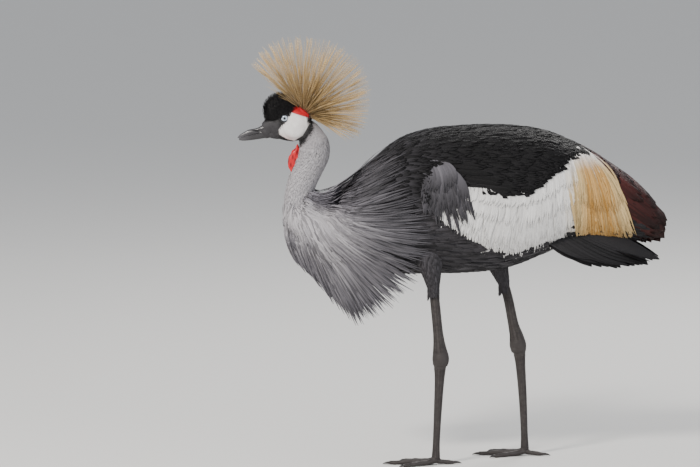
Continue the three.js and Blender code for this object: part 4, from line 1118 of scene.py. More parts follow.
# %% The grey shoulder lobe
LOBE_ROWS = [
    ([(-64, 548), (-54, 568), (-30, 580), (-4, 570)],
     [(-52, 482), (-18, 472), (20, 476), (38, 492)], 46, 9, 4.0, -0.6),
    ([(-64, 560), (-50, 576), (-30, 584), (-8, 576)],
     [(-56, 506), (-24, 498), (10, 500), (28, 512)], 44, 8.5, 3.0, -1.4),
    ([(-60, 570), (-48, 582), (-32, 588), (-12, 582)],
     [(-58, 532), (-36, 528), (-4, 530), (10, 540)], 40, 8, 2.2, -2.0),
]
spine, out, width, root_uv, share = lay_rows(LOBE_ROWS, steps=7, bow=7, jitter=0.1, slip=0.4, bend=2.0)
base = mix(SLATE * 0.8, SLATE * 1.25, ease(share, 0.1, 0.55))
towards_tip = ease(np.linspace(0, 1, 7), 0.35, 1.0)[None] * np.ones((len(share), 1))
tint = mix(base[:, None], SLATE * 0.5, towards_tip)
tint = np.clip(tint * (1 + rng.normal(0, 0.16, (len(share), 1, 1))), 0, 1)
lobe = vane_mesh("shoulder_lobe", spine, out, width, tint, root_uv, drop=0.06)
finish_piece(lobe, soft_plumage)
print("shoulder lobe:", len(share), "feathers")

# %% [markdown]
# ## The long neck plumes
# The plumes start all round the base of the neck and fan out over the breast and shoulders. Ten measured
# strands in the side view give the fan. Every plume is blended from two neighbours, opened out to the
# breast's width, and pushed out of the neck and body where it would sink in. Pale at the base and slate at
# the tip, they leave dark gaps that draw the fan.

# %% Hackles
STRANDS = np.array([
    [(-304, 478), (-312, 450), (-306, 412), (-286, 378)],
    [(-296, 464), (-292, 430), (-276, 384), (-250, 346)],
    [(-290, 462), (-272, 416), (-248, 362), (-220, 306)],
    [(-286, 464), (-252, 410), (-212, 340), (-175, 268)],
    [(-280, 468), (-232, 412), (-182, 350), (-132, 292)],
    [(-276, 474), (-216, 428), (-148, 380), (-76, 336)],
    [(-274, 480), (-202, 452), (-120, 426), (-36, 414)],
    [(-272, 486), (-208, 472), (-122, 474), (-40, 486)],
    [(-268, 492), (-218, 490), (-154, 520), (-92, 556)],
    [(-264, 498), (-216, 516), (-160, 562), (-92, 606)],
], float)
rows = [[i / (len(NECK) - 1)] + s for i, s in enumerate(NECK)]
NECK_LINE = np.stack(smooth(rows, np.linspace(0, 1, 81)), -1)
HANG = 0.72


def nearest_on_neck(p):
    away = np.hypot(p[..., None, 0] - NECK_LINE[:, 0], p[..., None, 2] - NECK_LINE[:, 2])
    return NECK_LINE[away.argmin(-1)]


def curtain(x, z):
    """How far out the plumage reaches; below the body the plumes hang like a curtain."""
    top, bottom, half, level = body_at(x)
    under = np.maximum((z - level) / (level - bottom), -HANG)
    share = np.where(z > level, (z - level) / (top - level), under)
    return half * np.sqrt(1 - np.clip(share, -1, 1) ** 2)


def pushed_out(p, distance):
    """A point moved out of the neck and body to a distance from them."""
    q = p.copy()
    near = nearest_on_neck(p)
    middle = near[..., :3] * (1, 0, 1)
    off = np.hypot(q[..., 0] - near[..., 0], q[..., 2] - near[..., 2])
    share = np.hypot(off / (near[..., 3] + distance), q[..., 1] / (near[..., 4] + distance))
    grown = (q - middle) / np.maximum(share, 0.2)[..., None] + middle
    q = np.where((share < 1)[..., None], grown, q)
    top, bottom, half, level = body_at(q[..., 0])
    rise = np.where(q[..., 2] > level, top - level, level - bottom) + distance
    share = np.maximum(np.hypot(q[..., 1] / (half + distance), (q[..., 2] - level) / rise), 0.05)
    moved = np.stack([q[..., 0], q[..., 1] / share, level + (q[..., 2] - level) / share], -1)
    return np.where(((share < 1) & (q[..., 0] > PLUMAGE[0][0]))[..., None], moved, q)


def plume_facing(p):
    near = nearest_on_neck(p)
    side = np.sign(p[..., 1] + 1e-6)
    gap = np.sqrt((near[..., 0] - p[..., 0]) ** 2 + (near[..., 2] - p[..., 2]) ** 2 + p[..., 1] ** 2)
    close = gap < near[..., 3] * 1.35
    top, bottom, half, level = body_at(p[..., 0])
    rise = np.where(p[..., 2] > level, top - level, level - bottom)
    body = np.stack([0 * side, p[..., 1] / half**2, (p[..., 2] - level) / rise**2], -1)
    body /= np.linalg.norm(body, axis=-1, keepdims=True) + 1e-9
    hanging = np.stack([-0.3 + 0 * side, side, -0.15 + 0 * side], -1)
    below = p[..., 2] < bottom + 0.1 * (level - bottom)
    around_neck = p - near[..., :3] * (1, 0, 1)
    around_neck /= np.linalg.norm(around_neck, axis=-1, keepdims=True) + 1e-9
    return np.where(close[..., None], around_neck, np.where(below[..., None], hanging, body))


def plumes(count, side, span, opening, lift, width, longer=(0.86, 1.04), steps=9):
    place = span[0] + (span[1] - span[0]) * (np.arange(count) + rng.uniform(0, 1, count)) / count
    u = np.clip(place, 0, 1) * (len(STRANDS) - 1)
    i = np.minimum(len(STRANDS) - 2, u.astype(int))
    guide = STRANDS[i] * (1 - (u - i))[:, None, None] + STRANDS[i + 1] * (u - i)[:, None, None]
    t = np.linspace(0, 1, steps)[None] * rng.uniform(*longer, (count, 1))
    knots = np.array([0, 1 / 3, 2 / 3, 1])
    weights = np.stack([
        np.prod([(t - knots[m]) / (knots[k] - knots[m]) for m in range(4) if m != k], axis=0)
        for k in range(4)
    ], -1)
    flat = np.einsum("ntk,nkc->ntc", weights, guide)
    run = np.clip(t, 0, 1)
    start = rng.normal(0, 7, (count, 1)) * (1 - run) + rng.normal(0, 4, (count, 1)) * run
    x = flat[..., 0] + start * 0.6
    z = flat[..., 1] + rng.uniform(-8, 22, (count, 1)) * (1 - run) + rng.normal(0, 3, (count, 1)) * t
    distance = lift + rng.uniform(-0.8, 0.8, (count, 1))
    opened = np.clip(t / 0.34, 0, 1) * opening
    y = 15 * opening * (1 - opened) + curtain(x, z) * opened + distance * opening
    p = np.stack([x, side * np.maximum(y, 0.5 + 20 * opening * (t < 0.3)), z], -1)
    p = pushed_out(p, np.maximum(distance + 2.2 * np.sin(run * np.pi), -2 + 0 * t))
    wave = rng.normal(0, 1.0, (count, 1)) * np.sin(t * 5 + rng.uniform(0, 6, (count, 1))) * t
    p[..., 2] += wave
    widths = leaf(steps, 0.5, 0.06, 0.3) * rng.uniform(0.7, 1.2, (count, 1)) * width
    tone = np.clip(np.linspace(0, 1, steps)[None] + rng.normal(0, 0.06, (count, 1)), 0, 1)
    upper = ease(u, 5.2, 8.0)[:, None]
    base = mix(PEARL * 1.12, SLATE * 2.6, upper)
    end = mix(SLATE * 1.3, SLATE * 0.55, upper)
    base, end = (np.broadcast_to(colour, (count, steps, 3)) for colour in (base, end))
    tint = mix(base, end, ease(tone, 0.12, 0.95))
    tint = tint * rng.choice([1.0, 1.12, 0.86, 0.55], (count, 1, 1), p=[0.4, 0.3, 0.2, 0.1])
    root_uv = np.stack([u / len(STRANDS), np.full(count, 0.5 + side * opening * 0.45)], -1)
    return p, plume_facing(p), widths, np.clip(tint, 0, 1), root_uv


groups = []
for side in (-1, 1):
    groups.append(plumes(230, side, (0, 1), 1.0, 0.2, 9))
    groups.append(plumes(250, side, (0, 1), 1.0, 2.2, 6.5, longer=(0.72, 1.0)))
    groups.append(plumes(230, side, (0, 1), 1.0, 4.2, 5.0, longer=(0.5, 0.9)))
    groups.append(plumes(80, side, (0.02, 0.56), 0.62, 1.5, 8))
    groups.append(plumes(60, side, (0.02, 0.46), 0.3, 1.5, 8))
groups.append(plumes(46, 1, (0.02, 0.4), 0.0, 1.0, 8))
spine, out, width, tint, root_uv = gather(groups)
hackles = vane_mesh("neck_plumes", spine, out, width, tint, root_uv, thick=0.4, drop=0.09)
finish_piece(hackles, hackle_plumage)

# %% [markdown]
# ## Short feathers of the neck
# The neck is smooth: tiny overlapping feathers, longer towards the breast. Each is placed by its share
# along the neck and its angle round it, so it follows the neck's own curve.

# %% Neck coat
ROW_STEP, TURN_STEP = 0.0070, 6.6  # share of the neck from row to row, degrees from feather to feather
share, angle = [], []
for s in np.arange(0.1, 0.80, ROW_STEP):
    around = np.arange(0, 360, TURN_STEP) + rng.uniform(0, TURN_STEP)
    share.append(np.full(len(around), s))
    angle.append(around)
share = np.concatenate(share) + rng.normal(0, 0.002, sum(map(len, share)))
angle = np.concatenate(angle)
n = len(share)
steps = 4
long = 15 + 18 * ease(share, 0.25, 0.8)
path_length = np.linalg.norm(np.diff(NECK_LINE[:, :3], axis=0), axis=1).sum()
t = np.linspace(0, 1, steps)[None]
s = share[:, None] + (long / path_length)[:, None] * t * rng.uniform(0.85, 1.15, (n, 1))
a = angle[:, None] + rng.normal(0, 5, (n, 1)) * t
depth = 2.6 - 2.6 * t**0.7 + rng.uniform(-0.12, 0.12, (n, 1))
spine = tube_point(NECK, np.clip(s, 0, 1), a, depth)
out = spine - tube_point(NECK, np.clip(s, 0, 1), a, depth + 5)
width = leaf(steps, 0.6, 0.2) * (3.0 + 3.6 * ease(share, 0.25, 0.8))[:, None]
width = width * rng.uniform(0.85, 1.15, (n, 1))
under_head = (spine[:, 0, 2] > 601) & (spine[:, 0, 0] < -262)
x, y, z = spine[:, 0].T
in_body = (x > -205) & (np.abs(y) < 60) & (z > 380) & (z < 470) & (share > 0.72)
keep = ~(under_head | in_body)
towards_tip = np.linspace(1.0, 1.12, steps)[None, :, None]
tint = head_tint(spine[:, 0])[:, None] * (1 + rng.normal(0, 0.05, (n, 1, 1))) * towards_tip
root_uv = np.stack([share, angle / 360], -1)
spine, out, width, tint, root_uv = (a[keep] for a in (spine, out, width, np.clip(tint, 0, 1), root_uv))
neck_coat = vane_mesh("coat_neck", spine, out, width, tint, root_uv, thick=0.3, drop=0.04)
finish_piece(neck_coat, soft_plumage)

# %% [markdown]
# ## Tufts of the head
# The cap is deep like velvet, and its tufts stand up more at the front. Each tuft grows from a point of the
# skin itself, at most one to a small cube of space, and leans back along the surface. Cheek and patch stay
# bare.

# %% Head tufts
skin_points, skin_normals = points_of(skin), normals_of(skin)
on_head = np.flatnonzero((skin_points[:, 0] < -256) & (skin_points[:, 2] > 588))
picked = rng.permutation(on_head)
cells = np.floor(skin_points[picked] / 1.9).astype(int)
_, first_in_cell = np.unique(cells, axis=0, return_index=True)
picked = picked[np.sort(first_in_cell)]
root, normal = skin_points[picked], skin_normals[picked]
eye_gap = np.hypot(root[:, 0] - EYE[0], root[:, 2] - EYE[2])
in_eye = (eye_gap < 8.6) & (np.abs(root[:, 1]) > 8)
on_bill = (root[:, 0] <= -346) & (root[:, 2] <= 646)
keep = (bare(root) < 0.45) & ~in_eye & ~on_bill
root, normal = root[keep], normal[keep]
n = len(root)
CAP = [(-352, 650), (-338, 655), (-318, 664), (-300, 672), (-284, 690), (-290, 712), (-330, 714),
       (-356, 690)]
cap = inside(root, CAP, 3)
lores = ease(-root[:, 0], 318, 330) * ease(-root[:, 2], -660, -650)
back = np.stack([0.86 - 0.35 * cap, 0 * cap, -0.5 + 0.45 * cap], -1)
flow = back - normal * (back * normal).sum(-1, keepdims=True)
flow /= np.linalg.norm(flow, axis=-1, keepdims=True) + 1e-9
raise_up = (0.14 + 0.75 * cap * ease(-root[:, 0], 285, 345) + 0.22 * cap)[:, None] * np.ones(3)
way = flow * (1 - raise_up * 0.5) + normal * raise_up + rng.normal(0, 0.10, (n, 3))
way /= np.linalg.norm(way, axis=-1, keepdims=True)
long = ((3.4 + 1.9 * cap - 1.4 * lores) * rng.uniform(0.8, 1.2, n))[:, None, None]
steps = 4
t = np.linspace(0, 1, steps)[None, :, None]
spine = root[:, None] - normal[:, None] * 0.35 + way[:, None] * long * t
spine = spine + flow[:, None] * long * 0.25 * t**2
out = np.broadcast_to(normal[:, None], spine.shape) + 0.0
width = leaf(steps, 0.7, 0.3) * ((1.7 - 0.25 * cap - 0.5 * lores) * rng.uniform(0.8, 1.2, n))[:, None]
towards_tip = np.array([0.8, 0.95, 1.1, 1.3])[None, :, None]
tint = head_tint(root)[:, None] * (1 + rng.normal(0, 0.12, (n, 1, 1))) * towards_tip
root_uv = np.stack([(root[:, 0] + 352) / 100,
                    np.arctan2(root[:, 1], root[:, 2] - 640) / (2 * math.pi) + 0.5], -1)
tufts = vane_mesh("coat_head", spine, out, width, np.clip(tint, 0, 1), np.clip(root_uv, 0.01, 0.99),
                  thick=0.3)
finish_piece(tufts, velvet)

# %% [markdown]
# ## Legs
# A crane stands on long bare legs. The bones, joints and toes are lofts grown together with a fine voxel
# remesh, and the skin wrinkles at the ankle. The claws stay separate, because horn is harder and smoother
# than skin.

# %% Legs and feet
LEGS = {
    "left": {
        "thigh": [[-44, -45, 420, 34, 25], [-38, -49, 375, 21, 18], [-33, -52, 338, 11, 11]],
        "shank": [[-33, -52, 338, 9, 8], [-29, -53, 300, 9, 7.5], [-24, -54, 250, 9.5, 8],
                  [-21, -55, 222, 12.5, 10], [-19, -55.5, 203, 16, 13], [-20, -56, 189, 14, 11.5]],
        "tarsus": [[-20, -56, 196, 13.5, 11], [-21, -56.5, 168, 9.5, 8.5], [-24, -58, 110, 7.6, 7],
                   [-27, -59, 45, 6.6, 6.4], [-28, -60, 12, 8, 8]],
        "foot": (-28, -60), "mirror": 1,
    },
    "right": {
        "thigh": [[72, 45, 420, 34, 25], [90, 48, 372, 20, 17], [103, 50, 334, 10.5, 10.5]],
        "shank": [[103, 50, 334, 9, 8], [112, 51, 300, 9, 7.5], [121, 53, 255, 10, 8],
                  [127, 54, 232, 13, 10.5], [130, 55, 215, 16, 13], [132, 55.5, 201, 14, 11.5]],
        "tarsus": [[132, 55.5, 208, 13.5, 11], [135, 56, 179, 9.5, 8.5], [140, 58, 110, 7.6, 7],
                   [143, 59, 45, 6.6, 6.4], [144, 60, 12, 8, 8]],
        "foot": (144, 60), "mirror": -1,
    },
}
TOES = {"inner": (30, 68, 5.2, 3.6, 12), "middle": (0, 88, 5.6, 3.8, 14), "outer": (-32, 72, 5.2, 3.6, 12),
        "hind": (168, 36, 4.8, 3.4, 15)}
LEG_TINT = np.array([0.036, 0.030, 0.028])


def toe_station(leg, turn, distance, height, size, wide=1.0):
    a = math.radians(180 - turn * leg["mirror"])
    x, y = leg["foot"]
    return [x + math.cos(a) * distance, y + math.sin(a) * distance, height, size, size * wide]


for name, leg in LEGS.items():
    parts = [loft("shank", tube_rings(leg["shank"], 60, 28)),
             loft("tarsus", tube_rings(leg["tarsus"], 70, 28))]
    for knob, height in ((leg["shank"][4], 0), (leg["shank"][4], -9)):
        for side in (-1, 1):
            parts.append(ellipsoid("condyle", (knob[0] - 1, knob[1] + side * 6.5, knob[2] + height),
                                   (11.5, 5.5, 9)))
    for toe, (turn, length, root, tip, claw) in TOES.items():
        stations = [(0, 9, root * 1.2), (0.25 * length, 5.6, root),
                    (0.6 * length, root * 0.88, root * 0.92), (0.85 * length, tip * 0.9, tip * 1.05),
                    (length, tip * 0.88, tip)]
        rows = [toe_station(leg, turn, *s) for s in stations]
        rings = tube_rings(rows, 44, 20)
        along = np.linspace(0, 1, 44)[:, None]
        joints = 4 if toe != "hind" else 2
        joint_bulge = 1 + 0.10 * np.sin(along * math.pi * 2 * joints) * ease(along, 0.1, 0.3)
        middle = rings.mean(1, keepdims=True)
        rings = middle + (rings - middle) * joint_bulge[..., None]
        rings[..., 2] = np.maximum(rings[..., 2], 0.35)
        parts.append(loft("toe", rings))
        base = length - 1
        path = [(base - 2, 3.4, 2.9), (base + 0.4 * claw, 3.5, 2.3), (base + 0.75 * claw, 2.6, 1.4),
                (base + claw, 1.2, 0.5)]
        rows = [toe_station(leg, turn, *s, wide=0.8) for s in path]
        rings = tube_rings(rows, 18, 20)
        rings[..., 2] = np.maximum(rings[..., 2], 0.3)
        finish_piece(loft(f"claw_{name}_{toe}_horn", rings), claw_horn, [f"claw_{name}_{toe}"])
    bones = fuse(f"leg_{name}", parts, voxel=1.0, relax=2)
    p = points_of(bones)
    knee = np.exp(-((p[:, 2] - leg["shank"][4][2]) / 16) ** 2)
    wrinkle = np.sin(p[:, 2] * 1.9 + np.sin(p[:, 0] * 0.5) * 1.5) * 0.22 * knee
    p += normals_of(bones) * wrinkle[:, None]
    p[:, 2] = np.maximum(p[:, 2], 0)
    move_points(bones, p)
    paint(bones, mix(LEG_TINT * 1.25, LEG_TINT * 0.8, ease(p[:, 2], 150, 330)))
    finish_piece(bones, leg_skin, [f"shank_{name}", f"tarsus_{name}", f"foot_{name}"])

# %% [markdown]
# ## Feathered thighs
# The thighs are short cones under the belly, closed round by small drooping feathers. The lowest ones hang
# straight down over the bare leg.

# %% Feathered thighs
groups = []
for name, leg in LEGS.items():
    core = loft(f"thigh_{name}_skin", tube_rings(leg["thigh"], 20, 32, depth=2.2))
    paint(core, np.tile(SLATE * 0.8, (len(core.data.vertices), 1)))
    finish_piece(core, bare_skin, [f"thigh_{name}"])
    spots = np.array([(s, a) for s in np.arange(0, 0.93, 0.055) for a in np.arange(0, 360, 17)])
    s = spots[:, :1] + rng.normal(0, 0.01, (len(spots), 1))
    a = spots[:, 1:] + rng.uniform(-8, 8, (len(spots), 1))
    t = np.linspace(0, 1, 5)[None]
    run = s + t * (30 + 6 * rng.random((len(spots), 1))) / 100
    over = np.clip(run - 1, 0, 1)
    depth = 1.8 - 2.6 * t + 0 * run
    spine = tube_point(leg["thigh"], np.clip(run, 0, 1), a, depth)
    spine[..., 2] -= over * 100
    out = spine - tube_point(leg["thigh"], np.clip(run, 0, 1), a, depth + 4) + [0, 0, -1e-3]
    width = leaf(5, 0.6, 0.25) * rng.uniform(6, 8.5, (len(spots), 1))
    tint = tinted(SLATE * 1.1, len(spots), 5, 0.15, BLACK * 3)
    root_uv = np.stack([s[:, 0] * 0.45 + (0.5 if name == "right" else 0.02), a[:, 0] / 360], -1)
    groups.append((spine, out, width, tint, root_uv))
spine, out, width, tint, root_uv = gather(groups)
thigh_coat = vane_mesh("coat_thighs", spine, out, width, tint, root_uv)
finish_piece(thigh_coat, soft_plumage)

# %% [markdown]
# ## A tree that plants one shape on many points
# The plates of the legs and the bristles of the crest are the same job: one small shape, copied to many
# points, aimed and turned by what the points say. The node tree below does it for both. Its inputs are
# named, its seed is fixed, and its result is kept as plain mesh.

# %% The planting tree
def planting_tree():
    tree = bpy.data.node_groups.new("Plant a shape on points", "GeometryNodeTree")
    for label, kind, value in (("Points", "NodeSocketGeometry", None), ("Shape", "NodeSocketObject", None),
                               ("Turn", "NodeSocketFloat", 0.0), ("Uneven", "NodeSocketFloat", 0.1),
                               ("Seed", "NodeSocketInt", 7), ("Finish", "NodeSocketMaterial", None)):
        socket = tree.interface.new_socket(label, in_out="INPUT", socket_type=kind)
        if value is not None:
            socket.default_value = value
    tree.interface.new_socket("Mesh", in_out="OUTPUT", socket_type="NodeSocketGeometry")
    source, sink = tree.nodes.new("NodeGroupInput"), tree.nodes.new("NodeGroupOutput")

    def attribute(name):
        node = tree.nodes.new("GeometryNodeInputNamedAttribute")
        node.data_type = "FLOAT_VECTOR"
        node.inputs["Name"].default_value = name
        return node.outputs["Attribute"]

    def aligned(axis, pivot, vector, before=None):
        node = tree.nodes.new("FunctionNodeAlignRotationToVector")
        node.axis = axis
        node.pivot_axis = pivot
        tree.links.new(vector, node.inputs["Vector"])
        if before is not None:
            tree.links.new(before, node.inputs["Rotation"])
        return node.outputs[0]

    def chance(low, high, offset):
        node = tree.nodes.new("FunctionNodeRandomValue")
        node.data_type = "FLOAT"
        for place, value in ((2, low), (3, high)):
            if isinstance(value, float):
                node.inputs[place].default_value = value
            else:
                tree.links.new(value, node.inputs[place])
        tree.links.new(math_node(tree, "ADD", source.outputs["Seed"], offset), node.inputs["Seed"])
        return node.outputs[1]

    facing = aligned("X", "Z", attribute("face"), aligned("Z", "AUTO", attribute("aim")))
    spin = tree.nodes.new("FunctionNodeAxisAngleToRotation")
    spin.inputs["Axis"].default_value = (0, 0, 1)
    against = math_node(tree, "MULTIPLY", source.outputs["Turn"], -1.0)
    tree.links.new(chance(against, source.outputs["Turn"], 1), spin.inputs["Angle"])
    turned = tree.nodes.new("FunctionNodeRotateRotation")
    turned.rotation_space = "LOCAL"
    tree.links.new(facing, turned.inputs["Rotation"])
    tree.links.new(spin.outputs[0], turned.inputs["Rotate By"])
    least = math_node(tree, "SUBTRACT", 1.0, source.outputs["Uneven"])
    most = math_node(tree, "ADD", 1.0, source.outputs["Uneven"])
    size = tree.nodes.new("ShaderNodeVectorMath")
    size.operation = "SCALE"
    tree.links.new(attribute("size"), size.inputs[0])
    tree.links.new(chance(least, most, 2), size.inputs["Scale"])
    shape = tree.nodes.new("GeometryNodeObjectInfo")
    tree.links.new(source.outputs["Shape"], shape.inputs["Object"])
    plant = tree.nodes.new("GeometryNodeInstanceOnPoints")
    real = tree.nodes.new("GeometryNodeRealizeInstances")
    finish = tree.nodes.new("GeometryNodeSetMaterial")
    for a, b in ((source.outputs["Points"], plant.inputs["Points"]),
                 (shape.outputs["Geometry"], plant.inputs["Instance"]),
                 (turned.outputs[0], plant.inputs["Rotation"]), (size.outputs[0], plant.inputs["Scale"]),
                 (plant.outputs[0], real.inputs["Geometry"]), (real.outputs[0], finish.inputs["Geometry"]),
                 (source.outputs["Finish"], finish.inputs["Material"]),
                 (finish.outputs[0], sink.inputs[0])):
        tree.links.new(a, b)
    return tree


plant_tree = planting_tree()


def plant(name, shape, points, aim, face, size, material, turn=0.0, uneven=0.1, seed=7):
    """One shape on every point. The result is a plain mesh, with the shapes in the order of the points."""
    base = build_mesh(name + "_points", points, [], [])
    for label, values in (("aim", aim), ("face", face), ("size", size)):
        layer = base.data.attributes.new(label, "FLOAT_VECTOR", "POINT")
        layer.data.foreach_set("vector", np.asarray(values, np.float32).ravel())
    modifier = base.modifiers.new("plant", "NODES")
    modifier.node_group = plant_tree
    items = plant_tree.interface.items_tree
    sockets = {item.name: item.identifier for item in items if item.in_out == "INPUT"}
    for label, value in (("Shape", shape), ("Turn", turn), ("Uneven", uneven), ("Seed", seed),
                         ("Finish", material)):
        modifier[sockets[label]] = value
    graph = bpy.context.evaluated_depsgraph_get()
    mesh = bpy.data.meshes.new_from_object(base.evaluated_get(graph))
    mesh.name = name
    bpy.data.objects.remove(base)
    made = link(bpy.data.objects.new(name, mesh))
    mesh.polygons.foreach_set("use_smooth", np.ones(len(mesh.polygons), bool))
    print(f"{name}: {len(points)} shapes, {len(mesh.polygons)} faces")
    return made

# %% [markdown]
# ## Plates of the legs
# One thin eight-sided plate, slightly tilted, covers both legs: a broad row down the front, smaller ones
# all round, and one row along the top of each toe.

# %% Plates of the legs
PLATE_SIDES = 8
plate_rings = []
for height, grow in ((-0.25, 1.0), (0.16, 0.9)):
    turn = (np.arange(PLATE_SIDES) + 0.5) * 2 * math.pi / PLATE_SIDES
    corner = (np.abs(np.cos(turn)) ** 3 + np.abs(np.sin(turn)) ** 3) ** (1 / 3)
    plate_rings.append(np.stack([np.cos(turn) / corner * grow, np.sin(turn) / corner * grow,
                                 np.full(PLATE_SIDES, height) + np.cos(turn) * 0.14], -1))
plate = loft("one_plate", np.array(plate_rings))
FRONT = 180
groups = []
for name, leg in LEGS.items():
    for part, share_from, share_to, rows in (("shank", 0.06, 0.68, 34), ("tarsus", 0.13, 0.99, 56)):
        pitch = (share_to - share_from) / rows
        for r in range(rows):
            at = share_from + pitch * (r + 0.5)
            groups.append((name, part, at, FRONT, True, pitch))
            for k in range(9):
                place = at + 0.5 * (k % 2 == 0) * pitch
                groups.append((name, part, place, FRONT + 48 + 33 * k, False, pitch))
points, aims, faces, sizes = [], [], [], []
for name, part, at, turn, front, pitch in groups:
    stations = LEGS[name][part]
    here = tube_point(stations, at, turn, 0.1)
    inner = tube_point(stations, at, turn, 3.0)
    below = tube_point(stations, at + 0.02, turn, 0.1)
    points.append(here)
    aims.append(here - inner)
    faces.append(below - here)
    step = np.linalg.norm(here - tube_point(stations, at + pitch, turn, 0.1))
    girth = np.linalg.norm(here - tube_point(stations, at, turn + 16, 0.1))
    sizes.append((step * 0.55, girth * (1.7 if front else 1.02), 1.0))
for name, leg in LEGS.items():
    for toe, (turn, length, root, tip, claw) in TOES.items():
        for distance in np.arange(14, length - 2, 3.4):
            size = root + (tip - root) * distance / length
            x, y, z = toe_station(leg, turn, distance, 0, 1)[:3]
            height = np.interp(distance, [0, 0.25 * length, 0.6 * length, 0.85 * length, length],
                               [9, 5.6, root * 0.88, tip * 0.9, tip * 0.88])
            points.append([x, y, height + size * 0.93])
            aims.append([0, 0, 1])
            faces.append([x - leg["foot"][0], y - leg["foot"][1], 0])
            sizes.append((1.9, size * 0.66, 0.9))
plates = plant("leg_plates", plate, np.array(points), aims, faces, sizes, leg_skin, uneven=0.05, seed=3)
tone = np.repeat(rng.uniform(0.9, 1.6, len(points)), len(plate.data.vertices))
paint(plates, LEG_TINT * tone[:, None])
finish_piece(plates, leg_skin)
bpy.data.objects.remove(plate)

# %% [markdown]
# ## The crown
# The crown is what everyone knows of this bird: hundreds of stiff golden bristles in a round fan. A bristle
# is a flat ribbon twisted about its own length, so it catches the light in dashes, and painted dashes of
# shade are added to its colour. One twisted ribbon is planted hundreds of times, longer in the middle of the
# fan, each with a little droop.

# %% Crest
CREST_ROOT = np.array([-276.0, 0, 667.0])
CREST_LEAN = 31
CREST_REACH = [(-84, 98), (-56, 116), (-35, 130), (-8, 148), (22, 143), (58, 140), (80, 120)]
BRISTLES = 860
GOLDEN_STEP = 0.6180339887  # spreads any number of bristles evenly over the fan
FAN_FRONT, FAN_TURN = -84, 164
SIDES, STATIONS = 4, 15
t = np.linspace(0, 1, STATIONS)
twist = t[:, None] * math.radians(150) * 3 + np.arange(SIDES)[None] * math.pi / 2
thin = np.where(np.arange(SIDES) % 2 == 0, 1.0, 0.42)[None]
size = (0.62 - 0.34 * t)[:, None] * thin
ribbon = np.stack([np.cos(twist) * size, np.sin(twist) * size, t[:, None] * 100 + 0 * twist], -1)
ribbon[..., 0] += (t**2.2 * 6)[:, None]
bristle = loft("one_bristle", ribbon)
height = points_of(bristle)[:, 2] / 100
add_uv(bristle, "Barb", np.stack([np.full(len(height), 0.3), height], -1))

crest_bristle, tree, shader = new_material("crest bristles", 0.5, specular=0.35, sheen=0.1)
tint = tree.nodes.new("ShaderNodeAttribute")
tint.attribute_name = "tint"
uv = tree.nodes.new("ShaderNodeUVMap")
uv.uv_map = "Barb"
up_bristle = tree.nodes.new("ShaderNodeSeparateXYZ")
tree.links.new(uv.outputs[0], up_bristle.inputs[0])
# painted shade: dark dashes are painted along each bristle's colour
dashes = math_node(tree, "SINE", math_node(tree, "MULTIPLY", up_bristle.outputs[1], 150.0))
dash = math_node(tree, "GREATER_THAN", dashes, 0.25)
shaded = mix_colour(tree, 1.0, tint.outputs["Color"], (0.36, 0.27, 0.2), "MULTIPLY")
dashed = mix_colour(tree, math_node(tree, "MULTIPLY", dash, 0.62), tint.outputs["Color"], shaded)
tree.links.new(dashed, shader.inputs["Base Color"])

count = BRISTLES
k = np.arange(count) + 0.5
ahead = FAN_FRONT + FAN_TURN * ((k * GOLDEN_STEP) % 1) + rng.normal(0, 1.5, count)
across = np.clip(rng.normal(0, 27, count), -58, 58)
a, c = np.radians(CREST_LEAN - ahead), np.radians(across)
aim = np.stack([np.sin(a) * np.cos(c), np.sin(c), np.cos(a) * np.cos(c)], -1)
root = CREST_ROOT + 3 * aim + np.array([0.74, 0, -0.67]) * (-ahead * 0.19)[:, None]
root[:, 1] += across / 56 * 8
root += rng.normal(0, 1.2, (count, 3))
reach = np.interp(ahead, *np.array(CREST_REACH, float).T) * (1 - 0.10 * (across / 58) ** 2)
reach *= 1 - np.abs(rng.normal(0, 0.055, count)) - 0.22 * (rng.random(count) < 0.16)
down = np.stack([np.sign(aim[:, 0]) * 0.2, np.sign(aim[:, 1]) * 0.2, -np.ones(count)], -1)
down = down + rng.normal(0, 0.4, (count, 3))
sizes = np.stack([np.ones(count), np.ones(count), (reach - 4) / 100], -1)
crest = plant("crest_bristles", bristle, root, aim, down, sizes, crest_bristle, turn=0.5, uneven=0.0,
              seed=5)
each = len(bristle.data.vertices)
tone = rng.uniform(0.72, 1.18, (count, 1, 1))
rise = np.clip(points_of(bristle)[:, 2] / 100, 0, 1)[None, :, None]
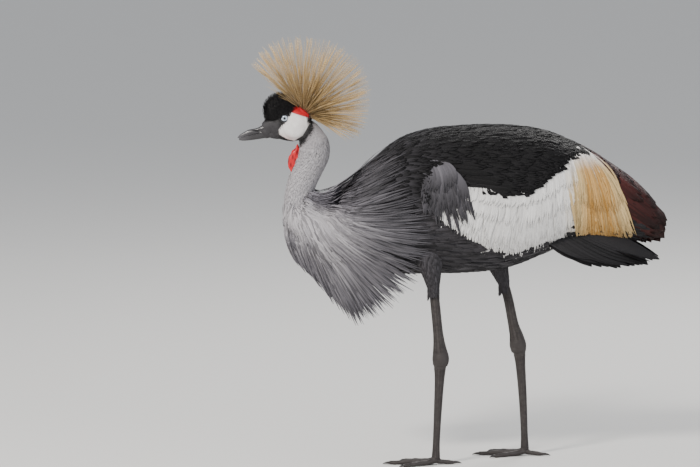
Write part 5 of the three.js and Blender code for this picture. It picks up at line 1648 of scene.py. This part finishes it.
tint = (STRAW * tone) * (0.55 + 0.55 * rise) + np.array([0.12, 0.10, 0.07]) * rise**3
paint(crest, np.clip(tint.reshape(-1, 3), 0, 1))
plot = np.stack([(ahead + 90) / 180, across / 130 + 0.5], -1)
patch = np.stack([np.tile(np.linspace(0, 1, each), count), np.tile(rise[0, :, 0], count)], -1) * PATCH
add_uv(crest, "OFBake", np.repeat(plot, each, axis=0) + patch)
finish_piece(crest, crest_bristle, ["crest"])
bpy.data.objects.remove(bristle)

# %% [markdown]
# ## Floor and light
# The bird stands on a plain pale floor, large enough to fill the view. A large key light stands above and
# to the left of the camera, with a weak fill from the right and a rim from behind that lifts the black back
# off the background.

# %% Floor, light and sizes
FLOOR_RADIUS = 60000.0
around = np.linspace(0, 2 * math.pi, 96, endpoint=False)
disc = np.stack([np.cos(around), np.sin(around), 0 * around], -1) * FLOOR_RADIUS
floor = loft("floor", np.stack([disc - (0, 0, 40), disc - (0, 0, 0.3)]))
floor_material, _, floor_shader = new_material("pale floor", 0.9, specular=0.1)
floor_shader.inputs["Base Color"].default_value = (0.66, 0.65, 0.63, 1)
floor.data.materials.append(floor_material)

world = bpy.data.worlds.new("studio")
bpy.context.scene.world = world
world.use_nodes = True
world.node_tree.nodes["Background"].inputs["Color"].default_value = (0.80, 0.83, 0.88, 1)
world.node_tree.nodes["Background"].inputs["Strength"].default_value = 0.8


def area_light(name, place, size, power, colour):
    data = bpy.data.lights.new(name, "AREA")
    data.shape = "DISK"
    data.size = size
    data.energy = power
    data.color = colour
    lamp = link(bpy.data.objects.new(name, data))
    lamp.location = place
    lamp.rotation_euler = (Vector((0, 0, 0.45)) - lamp.location).to_track_quat("-Z", "Y").to_euler()


area_light("key", (-2.2, -2.8, 3.2), 0.9, 230, (1.0, 0.96, 0.90))
area_light("fill", (2.8, -2.6, 1.4), 2.6, 45, (0.90, 0.95, 1.0))
area_light("rim", (1.2, 2.4, 3.0), 1.4, 90, (1.0, 0.98, 0.95))
print("lights:", len(bpy.data.lights))
